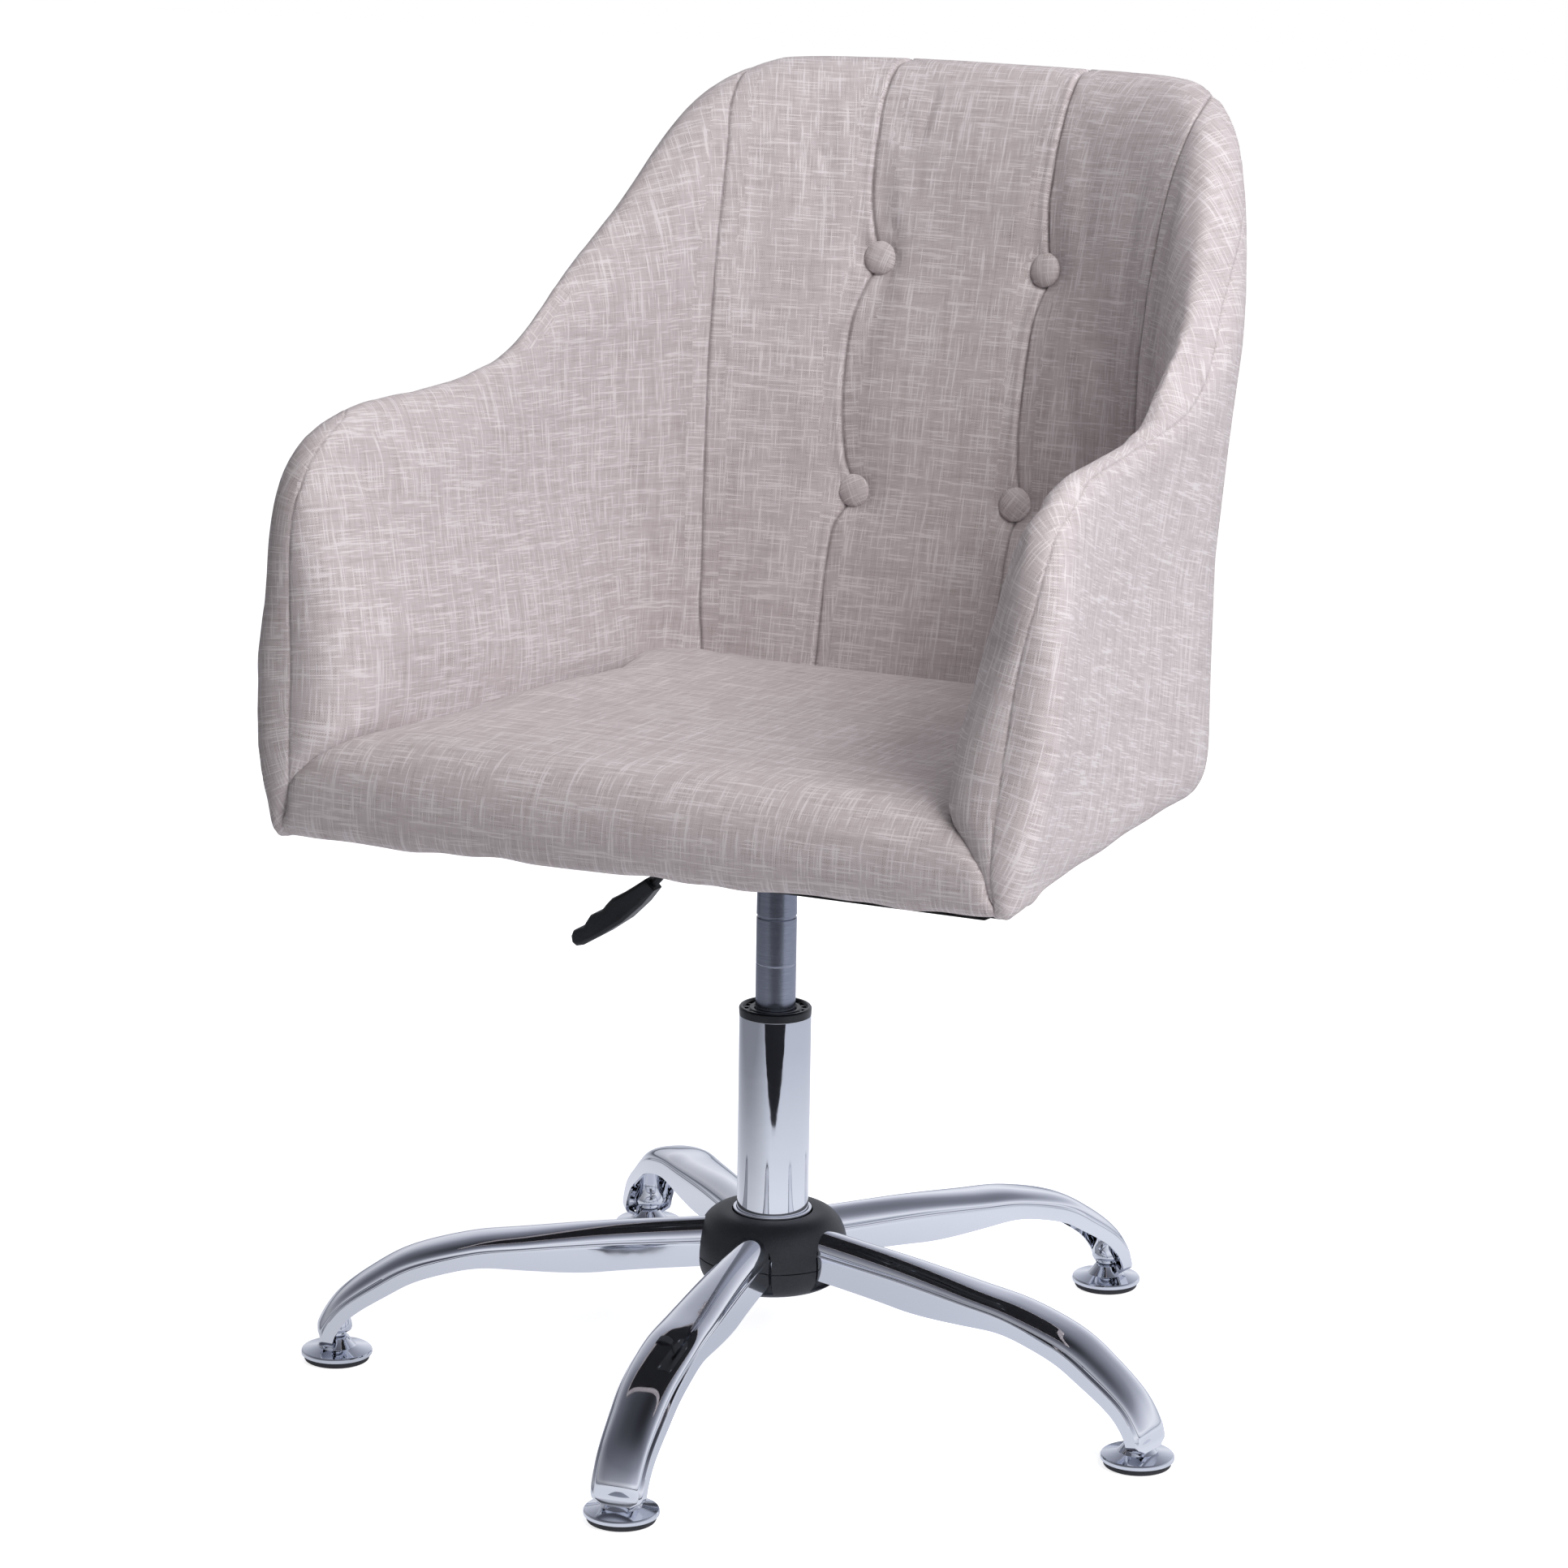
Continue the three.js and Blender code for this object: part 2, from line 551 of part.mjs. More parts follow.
// The paddle is drawn along its own length and then laid on the rod.
const handleLength = 74;
const handleDepth = 24;
const paddle = new THREE.Shape();
paddle.moveTo(0, -4.5);
paddle.lineTo(handleLength * 0.2, -6.5);
[0.38, 0.58, 0.78].forEach((share) => {
  paddle.quadraticCurveTo(handleLength * (share - 0.1), -8.4, handleLength * share, -5.6);
});
paddle.quadraticCurveTo(handleLength * 0.92, -8.5, handleLength, -5);
paddle.lineTo(handleLength, 2);
paddle.quadraticCurveTo(handleLength * 0.6, 7, handleLength * 0.2, 6.5);
paddle.lineTo(0, 4.5);
const paddleSolid = solid(new THREE.ExtrudeGeometry(paddle, {
  depth: handleDepth - 4, bevelEnabled: true, bevelSize: 2, bevelThickness: 2, bevelOffset: -2, bevelSegments: 2, curveSegments: 3,
}).translate(0, 0, 2 - handleDepth / 2));
const rodHole = solid(disc(leverRadius + clearance, -10, 26, 16)).rotate([0, 90, 0]);
const paddlePlaced = paddleSolid.subtract(rodHole).rotate([90, 0, 0])
  .rotate([0, -THREE.MathUtils.radToDeg(handleAngle) + 180, 0])
  .translate([handleStart.x, 0, handleStart.z]);
piece('lever_handle', shape(paddlePlaced), plastic());

boltSpots.forEach(([x, y], i) => {
  const head = solid(disc(boltHeadRadius, plateBottom - clearance - boltHeadHeight, plateBottom - clearance, 6));
  const shank = solid(disc(boltRadius, plateBottom - clearance - 1, boardBottom + boardHeight - 3, 16));
  piece(`seat_bolt_${i + 1}`, shape(head.add(shank).translate([x, y, 0])), plainSteel());
});

// ---- Tub: plan curves ----
const { smoothstep, lerp } = THREE.MathUtils;
function widthAt(widths, z) {
  // The half width at a height, read off its list.
  const above = widths.findIndex(([height]) => height >= z);
  if (above === 0) return widths[0][1];
  if (above < 0) return widths.at(-1)[1];
  const [[z0, w0], [z1, w1]] = widths.slice(above - 1, above + 1);
  return lerp(w0, w1, (z - z0) / (z1 - z0));
}
const innerFace = (z) => ({
  back: seatBackY + backLean * (z - seatLine),
  corner: widthAt(tubInner, z),
  front: widthAt(armInner, z),
  radius: widthAt(innerCorner, z),
});
const spineFace = (z) => ({ ...innerFace(z), radius: Math.min(widthAt(innerCorner, z), spineRadius) });
const outerFace = (z) => ({
  back: seatBackY + backLean * (z - seatLine) + backThickness,
  corner: widthAt(tubOuter, z),
  front: widthAt(armOuter, z),
  radius: widthAt(outerCorner, z),
});

function planPoint({ back, corner: side, front, radius }, path) {
  // path is 0 at the middle of the back, 1 where the arm starts and 2 at the front of the arm.
  const flat = side - radius;
  if (path <= flatShare) return [flat * (path / flatShare), back];
  if (path <= 1) {
    const a = ((path - flatShare) / (1 - flatShare)) * (Math.PI / 2);
    return [flat + radius * Math.sin(a), back - radius + radius * Math.cos(a)];
  }
  const share = path - 1;
  return [side + (front - side) * share ** 2, lerp(back - radius, armFront, share)];
}

const cornerEnd = (z) =>
  (spineFace(z).back - spineFace(z).radius + outerFace(z).back - outerFace(z).radius) / 2;
const pathScale = 350;            // length of one unit of path, about
const armSpot = (y, z) => new THREE.Vector2(pathScale * (1 + (cornerEnd(z) - y) / (cornerEnd(z) - armFront)), z);
const backSpot = (deg, z) => new THREE.Vector2(pathScale * (0.14 + 0.86 * (deg / 90)), z);

// The rim runs from the lower front corner of the arm up and round to the middle of the back.
const rimPoints = [
  ...armRim.map(([y, z]) => armSpot(y, z)), ...wingRim.map(([deg, z]) => backSpot(deg, z)),
];
const backTop = wingRim.at(-1)[1];
const rim = new THREE.SplineCurve(rimPoints);
const frontRim = new THREE.SplineCurve(rimPoints.slice(0, rimCorner + 1));
const topRim = new THREE.SplineCurve(rimPoints.slice(rimCorner).reverse());
const bottomEdge = new THREE.SplineCurve([
  new THREE.Vector2(0, skirtBottom), new THREE.Vector2(pathScale, skirtBottom),
  armSpot(-190, skirtBottom), armSpot(-225, skirtBottom + 1), rimPoints[0],
]);

function panel(u, height) {
  // A point of the unrolled wall: u from the back's middle to the arm's front, v from the foot up.
  const v = Math.max(height, 0);
  const low = bottomEdge.getPointAt(u);
  const high = topRim.getPointAt(u);
  const middle = new THREE.Vector2(0, lerp(skirtBottom, backTop, v));
  const edge = frontRim.getPointAt(v);
  const corners = new THREE.Vector2()
    .addScaledVector(new THREE.Vector2(0, skirtBottom), (1 - u) * (1 - v))
    .addScaledVector(rimPoints[0], u * (1 - v))
    .addScaledVector(rimPoints[rimCorner], u * v)
    .addScaledVector(new THREE.Vector2(0, backTop), (1 - u) * v);
  return new THREE.Vector2()
    .addScaledVector(low, 1 - v).addScaledVector(high, v)
    .addScaledVector(middle, 1 - u).addScaledVector(edge, u)
    .sub(corners).add(new THREE.Vector2(0, (height - v) * (backTop - skirtBottom)));
}

function wall(spot, side) {
  // The wall's inner face, outer face and middle at a spot of the unrolled panel.
  const path = Math.min(spot.x / pathScale, 2.2);
  const [inner, spine, outer] = [innerFace, spineFace, outerFace].map((face) => {
    const [x, y] = planPoint(face(spot.y), path);
    return new THREE.Vector3(side * x, y, spot.y);
  });
  return { inner, outer, middle: spine.add(outer).divideScalar(2) };
}

const rimLine = rim.getPoints(240).map((spot) => wall(spot, 1).middle);
const roundness = (distance, radius) =>
  Math.sqrt(1 - (1 - THREE.MathUtils.clamp(distance / radius, 0, 1)) ** 2);

function fullness(spot, middle, halves) {
  // Shares of each side's thickness that are kept: 1 away from rim and foot.
  const near = new THREE.Vector3(Math.abs(middle.x), middle.y, middle.z);
  const toRim = Math.min(...rimLine.map((p) => p.distanceTo(near)));
  const reach = lerp(innerEdge, crestReach, smoothstep(spot.y, crestStart, crestStart + 100));
  return [[innerEdge, reach], [outerEdge, outerEdge]].map(([radius, length], i) => {
    const half = halves[i];
    const tuck = Math.min(tuckRadius, half * 0.95) * (1 - roundness(spot.y - skirtBottom, tuckHeight));
    const edge = Math.min(radius, half * 0.95);
    return Math.max(1 - (edge * (1 - roundness(toRim, length)) + tuck) / half, 0.05);
  });
}

function wallSolid(us, vs, faces) {
  // A closed solid between two faces of the wall; us runs over both sides of the chair.
  const grid = us.map((u) => vs.map((v) => faces(panel(Math.abs(u), v), Math.sign(u) || 1)));
  const columns = vs.length;
  const count = us.length * columns;
  const points = [...grid.flat().map((f) => f[0].toArray()), ...grid.flat().map((f) => f[1].toArray())];
  const faceList = [];
  const quad = (a, b, c, d) => faceList.push(a, b, c, a, c, d);
  for (let i = 0; i + 1 < us.length; i++) {
    for (let j = 0; j + 1 < columns; j++) {
      const a = i * columns + j;
      quad(a, a + columns, a + columns + 1, a + 1);
      quad(count + a, count + a + 1, count + a + columns + 1, count + a + columns);
    }
    const [low, high] = [i * columns, i * columns + columns - 1];
    quad(low, count + low, count + low + columns, low + columns);
    quad(high, high + columns, count + high + columns, count + high);
  }
  for (let j = 0; j + 1 < columns; j++) {
    const end = (us.length - 1) * columns + j;
    quad(j, j + 1, count + j + 1, count + j);
    quad(end, count + end, count + end + 1, end + 1);
  }
  return surface(points, faceList);
}

const mirrored = (us) => [...us.map((u) => -u).reverse(), ...us.slice(us[0] === 0 ? 1 : 0)];
const paddedFaces = (grow) => (spot, side) => {
  const { inner, outer, middle } = wall(spot, side);
  const halves = [inner.distanceTo(middle), outer.distanceTo(middle)];
  const [innerFull, outerFull] = fullness(spot, middle, halves);
  const inward = inner.clone().sub(outer).normalize().multiplyScalar(grow);
  return [middle.clone().lerp(inner, innerFull).add(inward), middle.clone().lerp(outer, outerFull)];
};
const boardFaces = (thickness) => (spot, side) => {
  const { inner, outer, middle } = wall(spot, side);
  const out = outer.clone().sub(inner).normalize().multiplyScalar(thickness / 2);
  return [middle.clone().sub(out), middle.clone().add(out)];
};

const tubU = [0, 0.07, 0.14, 0.21, 0.28, 0.35, 0.42, 0.5, 0.6, 0.71, 0.82, 0.9, 0.945, 0.97, 0.986, 0.996, 1];
const tubV = [0, 0.004, 0.015, 0.035, 0.07, 0.16, 0.3, 0.45, 0.6, 0.74, 0.85, 0.91, 0.95, 0.975, 0.992, 1];
const frameU = [0, 0.12, 0.24, 0.34, 0.44, 0.56, 0.7, 0.84, 0.95];
const frameV = [0.008, 0.2, 0.4, 0.6, 0.8, 0.93];
const cavityV = [-0.03, ...frameV.slice(0, -1), 0.933];
const cavityU = [...frameU.slice(0, -1), 0.953];

const padding = solid(wallSolid(mirrored(tubU), tubV, paddedFaces(0)));
const paddingRoom = solid(wallSolid(mirrored(tubU), tubV, paddedFaces(1.5 * clearance)));
const cavity = solid(wallSolid(mirrored(cavityU), cavityV, boardFaces(frameThickness + 2 * clearance)));
piece('tub_frame', wallSolid(mirrored(frameU), frameV, boardFaces(frameThickness)), plywood());

// ---- Seat board, dust cover and cushion ----
function planOutline(z, inset, front, steps = 12) {
  // The outline inside the middle of the wall, closed straight across at the front.
  const right = [];
  const end = 1 + (cornerEnd(z) - front) / (cornerEnd(z) - armFront);
  for (let i = 0; i <= steps; i++) {
    const { inner, outer, middle } = wall(new THREE.Vector2((pathScale * end * i) / steps, z), 1);
    const p = middle.clone().addScaledVector(inner.clone().sub(outer).normalize(), inset);
    right.push([p.x, p.y]);
  }
  right[right.length - 1][1] = front;
  const left = right.slice(1).map(([x, y]) => [-x, y]).reverse();
  return [...left, ...right];
}
const boardTop = boardBottom + boardHeight;
const boardOutline = planOutline(boardTop, 3, boardFront);
const boardHoles = boltSpots.map(([x, y]) => circleOutline(x, y, boltHole));
const fullBoard = solid(plate(boardOutline, boardBottom, boardTop, boardHoles));
piece('seat_board', shape(fullBoard.subtract(cavity)), plywood());

const boardRoom = solid(plate(planOutline(boardTop, 0, armFront - 20), skirtBottom - 20, boardTop + clearance));
const widest = Math.max(...armOuter.map(([, half]) => half)) + 10;
const noseKeep = solid(box(-widest, widest, armFront - 30, boardFront - clearance, skirtBottom - 30, boardTop + 5));

// ---- Buttons, each in a shallow well of the back ----
const domed = [
  [0, 0], [buttonRadius - 1, 0], [buttonRadius, 1.2], [buttonRadius - 0.8, 3.4],
  [buttonRadius * 0.68, buttonHeight - 1.4], [buttonRadius * 0.34, buttonHeight - 0.3], [0, buttonHeight],
];
const wellCut = solid(disc(buttonRadius + clearance, -clearance, 30, smallSides + 2));
const wells = [];
for (const z of buttonHeights) {
  for (const side of [-1, 1]) {
    const face = innerFace(z);
    const turn = Math.asin(Math.max(0, buttonHalf - (face.corner - face.radius)) / face.radius);
    const y = face.back - face.radius * (1 - Math.cos(turn));
    const outOfBack = new THREE.Vector3(-side * Math.sin(turn), -Math.cos(turn), backLean).normalize();
    const button = piece(`back_button_${wells.length + 1}`, turned(domed, smallSides + 2), linen());
    button.quaternion.setFromUnitVectors(new THREE.Vector3(0, 0, 1), outOfBack);
    button.position.set(side * buttonHalf, y, z).addScaledVector(outOfBack, -buttonSink);
    button.updateMatrix();
    wells.push(wellCut.transform(button.matrix.elements));
  }
}
const tub = padding.subtract(cavity).subtract(boardRoom.subtract(noseKeep));
piece('tub_upholstery', shape(wells.reduce((body, well) => body.subtract(well), tub)), linen());

const coverSheet = 1.3;
const coverTopZ = boardBottom - clearance;
const plateGap = 4;
const coverHoleOutline = [
  [-halfLength - plateGap, -halfDepth - plateGap], [-halfLength - plateGap, halfDepth + plateGap],
  [halfLength + plateGap, halfDepth + plateGap], [halfLength + plateGap, -halfDepth - plateGap],
];
const coverOutline = planOutline(boardTop, 3.5, boardFront + 1);
const coverSolid = solid(plate(coverOutline, coverTopZ - coverSheet, coverTopZ, [coverHoleOutline]));
piece('dust_cover', shape(coverSolid.subtract(cavity)), feltBlack());

// The cushion: one section drawn in Y and Z, run across and trimmed to the space between the arms.
const seatSection = new THREE.Shape();
const noseRadius = 30;
const backReach = seatBackY + 30;
const lipInner = boardFront - clearance - 0.2;
seatSection.moveTo(lipInner, skirtBottom + 2);
seatSection.lineTo(cushionFront + 6, skirtBottom + 2);
seatSection.quadraticCurveTo(cushionFront, skirtBottom + 4, cushionFront, skirtBottom + 15);
seatSection.lineTo(cushionFront, cushionCrown - noseRadius);
seatSection.quadraticCurveTo(cushionFront, cushionCrown - 2, cushionFront + noseRadius, cushionCrown);
seatSection.quadraticCurveTo(seatBackY / 4, cushionCrown - 4, backReach, seatLine);
seatSection.lineTo(backReach, boardTop + clearance);
seatSection.lineTo(lipInner, boardTop + clearance);
const cushionBar = solid(new THREE.ExtrudeGeometry(seatSection, { depth: 2 * widest, bevelEnabled: false, curveSegments: 6 }))
  .warp((v) => { [v[0], v[1], v[2]] = [v[2] - widest, v[0], v[1]]; });
const cushionReach = 1.5;          // past the tub's inner face, before it is trimmed to it
const ringAt = (z) => {
  const steps = 14;
  const right = [];
  for (let i = 0; i <= steps; i++) {
    const [x, y] = planPoint(innerFace(z), (2.1 * i) / steps);
    right.push([x + (i ? cushionReach : 0), y + cushionReach, z]);
  }
  return [...right.slice(1).map(([x, y]) => [-x, y, z]).reverse(), ...right];
};
const seatSpace = solid(loft([skirtBottom - 5, boardTop, seatLine - 5, cushionCrown + 10].map(ringAt)));
const cushion = cushionBar.intersect(seatSpace).subtract(paddingRoom);
piece('seat_cushion', shape(cushion), linen());

// ---- Origin ----
const bounds = new THREE.Box3().setFromObject(chair, true);
const middle = bounds.getCenter(new THREE.Vector3()).round();
chair.position.set(-middle.x, -middle.y, 0);

export default chair;
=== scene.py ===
# %% [markdown]
# # An upholstered swivel tub chair
#
# The chair has three parts that are made in quite different ways: a chromed steel base on turning
# glides, a gas lift with its release lever, and a padded tub covered in a linen-look cloth. The
# solids give every piece its place and size. This lesson dresses them: turned and swept metal
# where a reflection has to run smoothly, and cloth with its seams, buttons and folds.

# %% The frame
import json
import math

import bmesh
import bpy
import numpy as np
from mathutils import Matrix, Vector
from mathutils.bvhtree import BVHTree
from mathutils.kdtree import KDTree


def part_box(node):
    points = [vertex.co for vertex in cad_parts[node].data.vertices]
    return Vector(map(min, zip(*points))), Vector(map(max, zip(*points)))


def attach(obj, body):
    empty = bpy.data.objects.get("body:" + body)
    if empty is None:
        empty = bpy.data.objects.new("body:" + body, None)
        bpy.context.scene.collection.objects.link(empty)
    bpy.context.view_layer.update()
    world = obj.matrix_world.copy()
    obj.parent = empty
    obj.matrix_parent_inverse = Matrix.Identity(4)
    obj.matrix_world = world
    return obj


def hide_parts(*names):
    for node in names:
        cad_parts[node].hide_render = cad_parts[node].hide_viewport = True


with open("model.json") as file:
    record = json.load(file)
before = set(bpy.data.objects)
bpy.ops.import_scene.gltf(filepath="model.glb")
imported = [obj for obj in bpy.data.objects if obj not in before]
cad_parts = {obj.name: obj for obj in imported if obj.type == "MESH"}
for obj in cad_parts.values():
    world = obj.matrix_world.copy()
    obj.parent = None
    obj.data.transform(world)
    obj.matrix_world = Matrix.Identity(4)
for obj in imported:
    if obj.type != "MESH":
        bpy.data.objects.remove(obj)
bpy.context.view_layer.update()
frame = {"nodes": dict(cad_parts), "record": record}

# %% [markdown]
# ## Millimetres round the swivel axis
#
# Every new piece is drawn in millimetres round the swivel axis, because that is how a chair maker
# measures it. The column tube's box says where that axis stands, and one function lays a finished
# drawing in place, so no object is ever moved or scaled.

# %% Drawing units
MM = 0.001
column_low, column_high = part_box("column_tube")
axis = Vector(((column_low.x + column_high.x) / 2, (column_low.y + column_high.y) / 2, 0))
column_top = column_high.z / MM
hub_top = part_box("hub_tube")[1].z / MM
print("swivel axis at", tuple(round(v / MM) for v in axis.xy), "column top", round(column_top))


def linked(name, bm):
    """Turns a bmesh into an object that is part of the scene."""
    mesh = bpy.data.meshes.new(name)
    bm.to_mesh(mesh)
    bm.free()
    made = bpy.data.objects.new(name, mesh)
    bpy.context.scene.collection.objects.link(made)
    return made


def place(bm, name, body, finish, sharp=35, replaces=()):
    """Makes a drawn bmesh a piece of the chair, riding on a body of the frame.

    Sharp is the angle past which an edge is left crisp; 0 is for cloth, which has no crisp edges.
    """
    piece = linked(name, bm)
    mesh = piece.data
    mesh.transform(Matrix.Translation(axis) @ Matrix.Scale(MM, 4))
    mesh.materials.append(finish)
    mesh.shade_smooth()
    if sharp:
        mesh.set_sharp_from_angle(angle=math.radians(sharp))
        # Broad faces keep their true direction, so a bevel doesn't bend the reflections beside it.
        weighted = piece.modifiers.new("even_shading", "WEIGHTED_NORMAL")
        weighted.keep_sharp = True
    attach(piece, body)
    if replaces:
        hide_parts(*replaces)
    return piece


# %% [markdown]
# ## Finishes
#
# A material is a small network of nodes. One function adds a node, sets it and links it, and one
# turns a colour as it is picked on a screen into the linear value that light works with.

# %% Helpers for materials
def linear(colour):
    """An sRGB hex colour as linear RGBA."""
    parts = [int(colour[i:i + 2], 16) / 255 for i in (1, 3, 5)]
    return [c / 12.92 if c <= 0.04045 else ((c + 0.055) / 1.055) ** 2.4 for c in parts] + [1]


def add(tree, kind, inputs=(), **settings):
    """Adds a node; inputs maps a socket to a value or to another node's output."""
    made = tree.nodes.new(kind)
    for key, value in settings.items():
        setattr(made, key, value)
    for socket, value in dict(inputs).items():
        if isinstance(value, bpy.types.NodeSocket):
            tree.links.new(value, made.inputs[socket])
        else:
            made.inputs[socket].default_value = value
    return made


def finish(name, colour, **values):
    """A new material with its principled shader; values are set straight on its sockets."""
    material = bpy.data.materials.new(name)
    material.use_nodes = True
    shader = material.node_tree.nodes["Principled BSDF"]
    shader.inputs["Base Color"].default_value = linear(colour)
    for key, value in values.items():
        shader.inputs[key.replace("_", " ")].default_value = value
    return material, material.node_tree, shader


def ramp(tree, factor, stops):
    """A colour ramp through [position, value or hex colour]."""
    made = add(tree, "ShaderNodeValToRGB", {0: factor})
    elements = made.color_ramp.elements
    while len(elements) < len(stops):
        elements.new(0.5)
    for element, (position, value) in zip(elements, stops):
        element.position = position
        element.color = linear(value) if isinstance(value, str) else (value, value, value, 1)
    return made.outputs[0]


def sum_of(tree, operation, *terms):
    """The result of a maths node with these terms."""
    return add(tree, "ShaderNodeMath", dict(enumerate(terms)), operation=operation).outputs[0]


def mixed(tree, share, first, second):
    """A colour between two others."""
    return add(tree, "ShaderNodeMix", {0: share, 6: first, 7: second}, data_type="RGBA").outputs[2]


def noise(tree, where, scale, detail, **settings):
    """A noise pattern's value."""
    return add(tree, "ShaderNodeTexNoise", {"Vector": where, "Scale": scale, "Detail": detail},
               **settings).outputs["Fac"]


def bumped(tree, shader, height, depth, strength=1.0):
    """Bends the shading as if the surface rose by depth in millimetres."""
    bump = add(tree, "ShaderNodeBump", {"Height": height, "Distance": depth * MM, "Strength": strength})
    tree.links.new(bump.outputs[0], shader.inputs["Normal"])


def per_mm(size):
    """The scale that gives a pattern of that size in millimetres on metre coordinates."""
    return 1 / (size * MM)


print("helpers ready; mid grey is", round(linear("#808080")[0], 3), "in linear light")

# %% [markdown]
# ### Metals
#
# The legs and the column are pressed and drawn steel with decorative **chrome plate** over nickel,
# buffed before plating. It mirrors its surroundings, with a faint cool tint, soft smears from
# handling and a slight waviness from the press. The gas cylinder is **satin ground steel**, which
# stretches highlights round it. Small hardware is plain ground steel.

# %% Chrome and steel
def metal(name, colour, rough, smear, wave, wave_size=30, smear_size=45):
    """Polished or ground metal: smeared roughness and a faint wave in its surface."""
    material, tree, shader = finish(name, colour, Metallic=1.0)
    where = add(tree, "ShaderNodeTexCoord").outputs["Object"]
    smears = noise(tree, where, per_mm(smear_size), 5.0)
    tree.links.new(ramp(tree, smears, [(0.42, rough), (0.72, rough + smear)]), shader.inputs["Roughness"])
    bumped(tree, shader, noise(tree, where, per_mm(wave_size), 2.0), wave)
    return material


chrome = metal("chrome_plate_buffed", "#E6E8EE", 0.035, 0.05, 0.10)
glide_chrome = metal("chrome_plate_glide", "#DDE0E8", 0.07, 0.08, 0.05, wave_size=12)
plain_steel = metal("ground_steel", "#A3A6AA", 0.32, 0.15, 0.03, wave_size=4)


def satin_cylinder():
    """Ground and blued tube: fine rings round it, seen as a stretched, cool sheen."""
    material, tree, shader = finish("satin_ground_tube", "#A8ACB9", Metallic=1.0, Roughness=0.27)
    where = add(tree, "ShaderNodeTexCoord").outputs["Object"]
    stretched = add(tree, "ShaderNodeMapping", {"Vector": where, "Scale": (1.0, 1.0, 60.0)})
    rings = noise(tree, stretched.outputs[0], per_mm(16), 3.0)
    tree.links.new(ramp(tree, rings, [(0.3, "#A1A5B3"), (0.7, "#B5B9C6")]), shader.inputs["Base Color"])
    bumped(tree, shader, rings, 0.02)
    return material


cylinder_steel = satin_cylinder()
print("metals:", chrome.name, cylinder_steel.name)

# %% [markdown]
# ### Plastics, rubber, coated steel and wood
#
# The hub cover, bush and lever handle are injection moulded **polypropylene**: its mould was spark
# eroded, which leaves a fine even grain. The mechanism is **powder coated** steel with orange peel.
# The glide pads are matt **rubber**, the lining is **non-woven felt**, the frame **beech plywood**.

# %% Grained finishes
def grained(name, colour, light, grain, depth, **values):
    """A dull finish whose grain shows as small bumps and a slight change of colour."""
    material, tree, shader = finish(name, colour, **values)
    where = add(tree, "ShaderNodeTexCoord").outputs["Object"]
    fine = noise(tree, where, per_mm(grain), 3.0)
    both = sum_of(tree, "MULTIPLY", fine, noise(tree, where, per_mm(grain * 30), 4.0))
    tree.links.new(ramp(tree, both, [(0.12, colour), (0.42, light)]), shader.inputs["Base Color"])
    bumped(tree, shader, fine, depth)
    return material


black_plastic = grained("moulded_polypropylene", "#1B1D21", "#2B2D32", 0.9, 0.12, Roughness=0.42)
bush_plastic = grained("turned_acetal", "#15161A", "#24262B", 0.9, 0.03, Roughness=0.3)
powder_coat = grained("powder_coat_black", "#141518", "#1E1F22", 2.2, 0.08, Roughness=0.45)
rubber = grained("moulded_rubber", "#26272C", "#34353B", 0.7, 0.04, Roughness=0.75)
felt = grained("nonwoven_felt", "#0E0E10", "#1B1B1E", 0.8, 0.2, Roughness=0.95)

LINING = 6            # mm of felt turned in over the edge of the seat board


def beech_plywood(name, lined_edge=None):
    """Rotary cut beech with short flecks along the grain. A board's edge may be lined with felt."""
    material, tree, shader = finish(name, "#B98F62", Roughness=0.6)
    where = add(tree, "ShaderNodeTexCoord").outputs["Object"]
    along = add(tree, "ShaderNodeMapping", {"Vector": where, "Scale": (1.0, 12.0, 12.0)})
    colour = ramp(tree, noise(tree, along.outputs[0], per_mm(30), 6.0), [(0.35, "#A67B4F"), (0.65, "#CDA677")])
    if lined_edge:
        low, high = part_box(lined_edge)
        centred = add(tree, "ShaderNodeMapping", {"Vector": where, "Location": -(low + high) / 2})
        width = add(tree, "ShaderNodeVectorMath", {0: centred.outputs[0]}, operation="ABSOLUTE")
        bare = (high - low) / 2 - Vector((LINING, LINING, 0)) * MM
        past = add(tree, "ShaderNodeVectorMath", {0: width.outputs[0], 1: bare}, operation="SUBTRACT")
        ways = add(tree, "ShaderNodeSeparateXYZ", {0: past.outputs[0]}).outputs
        lined = sum_of(tree, "GREATER_THAN", sum_of(tree, "MAXIMUM", ways["X"], ways["Y"]), 0.0)
        colour = mixed(tree, lined, colour, linear("#141416"))
    tree.links.new(colour, shader.inputs["Base Color"])
    return material


plywood = beech_plywood("beech_plywood")
lined_plywood = beech_plywood("felt_edged_plywood", lined_edge="seat_board")
print("grained:", [m.name for m in (black_plastic, bush_plastic, powder_coat, rubber, felt, plywood)])

# %% [markdown]
# ### The linen-look cloth
#
# The cover is a plain weave of polyester slub yarn. Each thread is spun from lighter and darker
# fibres, so its shade drifts along its length, and thick pale slubs turn up here and there in both
# directions. The pattern is built from the real thing: threads 0.8 mm apart, one set over the
# other in turn, each with a shade of its own that changes slowly along it. It reads the piece's
# own map, which holds millimetres, so the weave keeps its size and follows each sewn panel.

# %% Cloth
THREAD = 0.8          # mm between threads
SLUB = 30.0           # mm, length of a change of shade along a thread
BAND, BAND_LENGTH = 6.0, 90.0     # mm, width and length of a band of threads from one cone
BLOTCH = 55           # mm, size of a cloud of shade in the dyeing
SLUB_SHARE = 0.38     # how far a slub hides what is under it


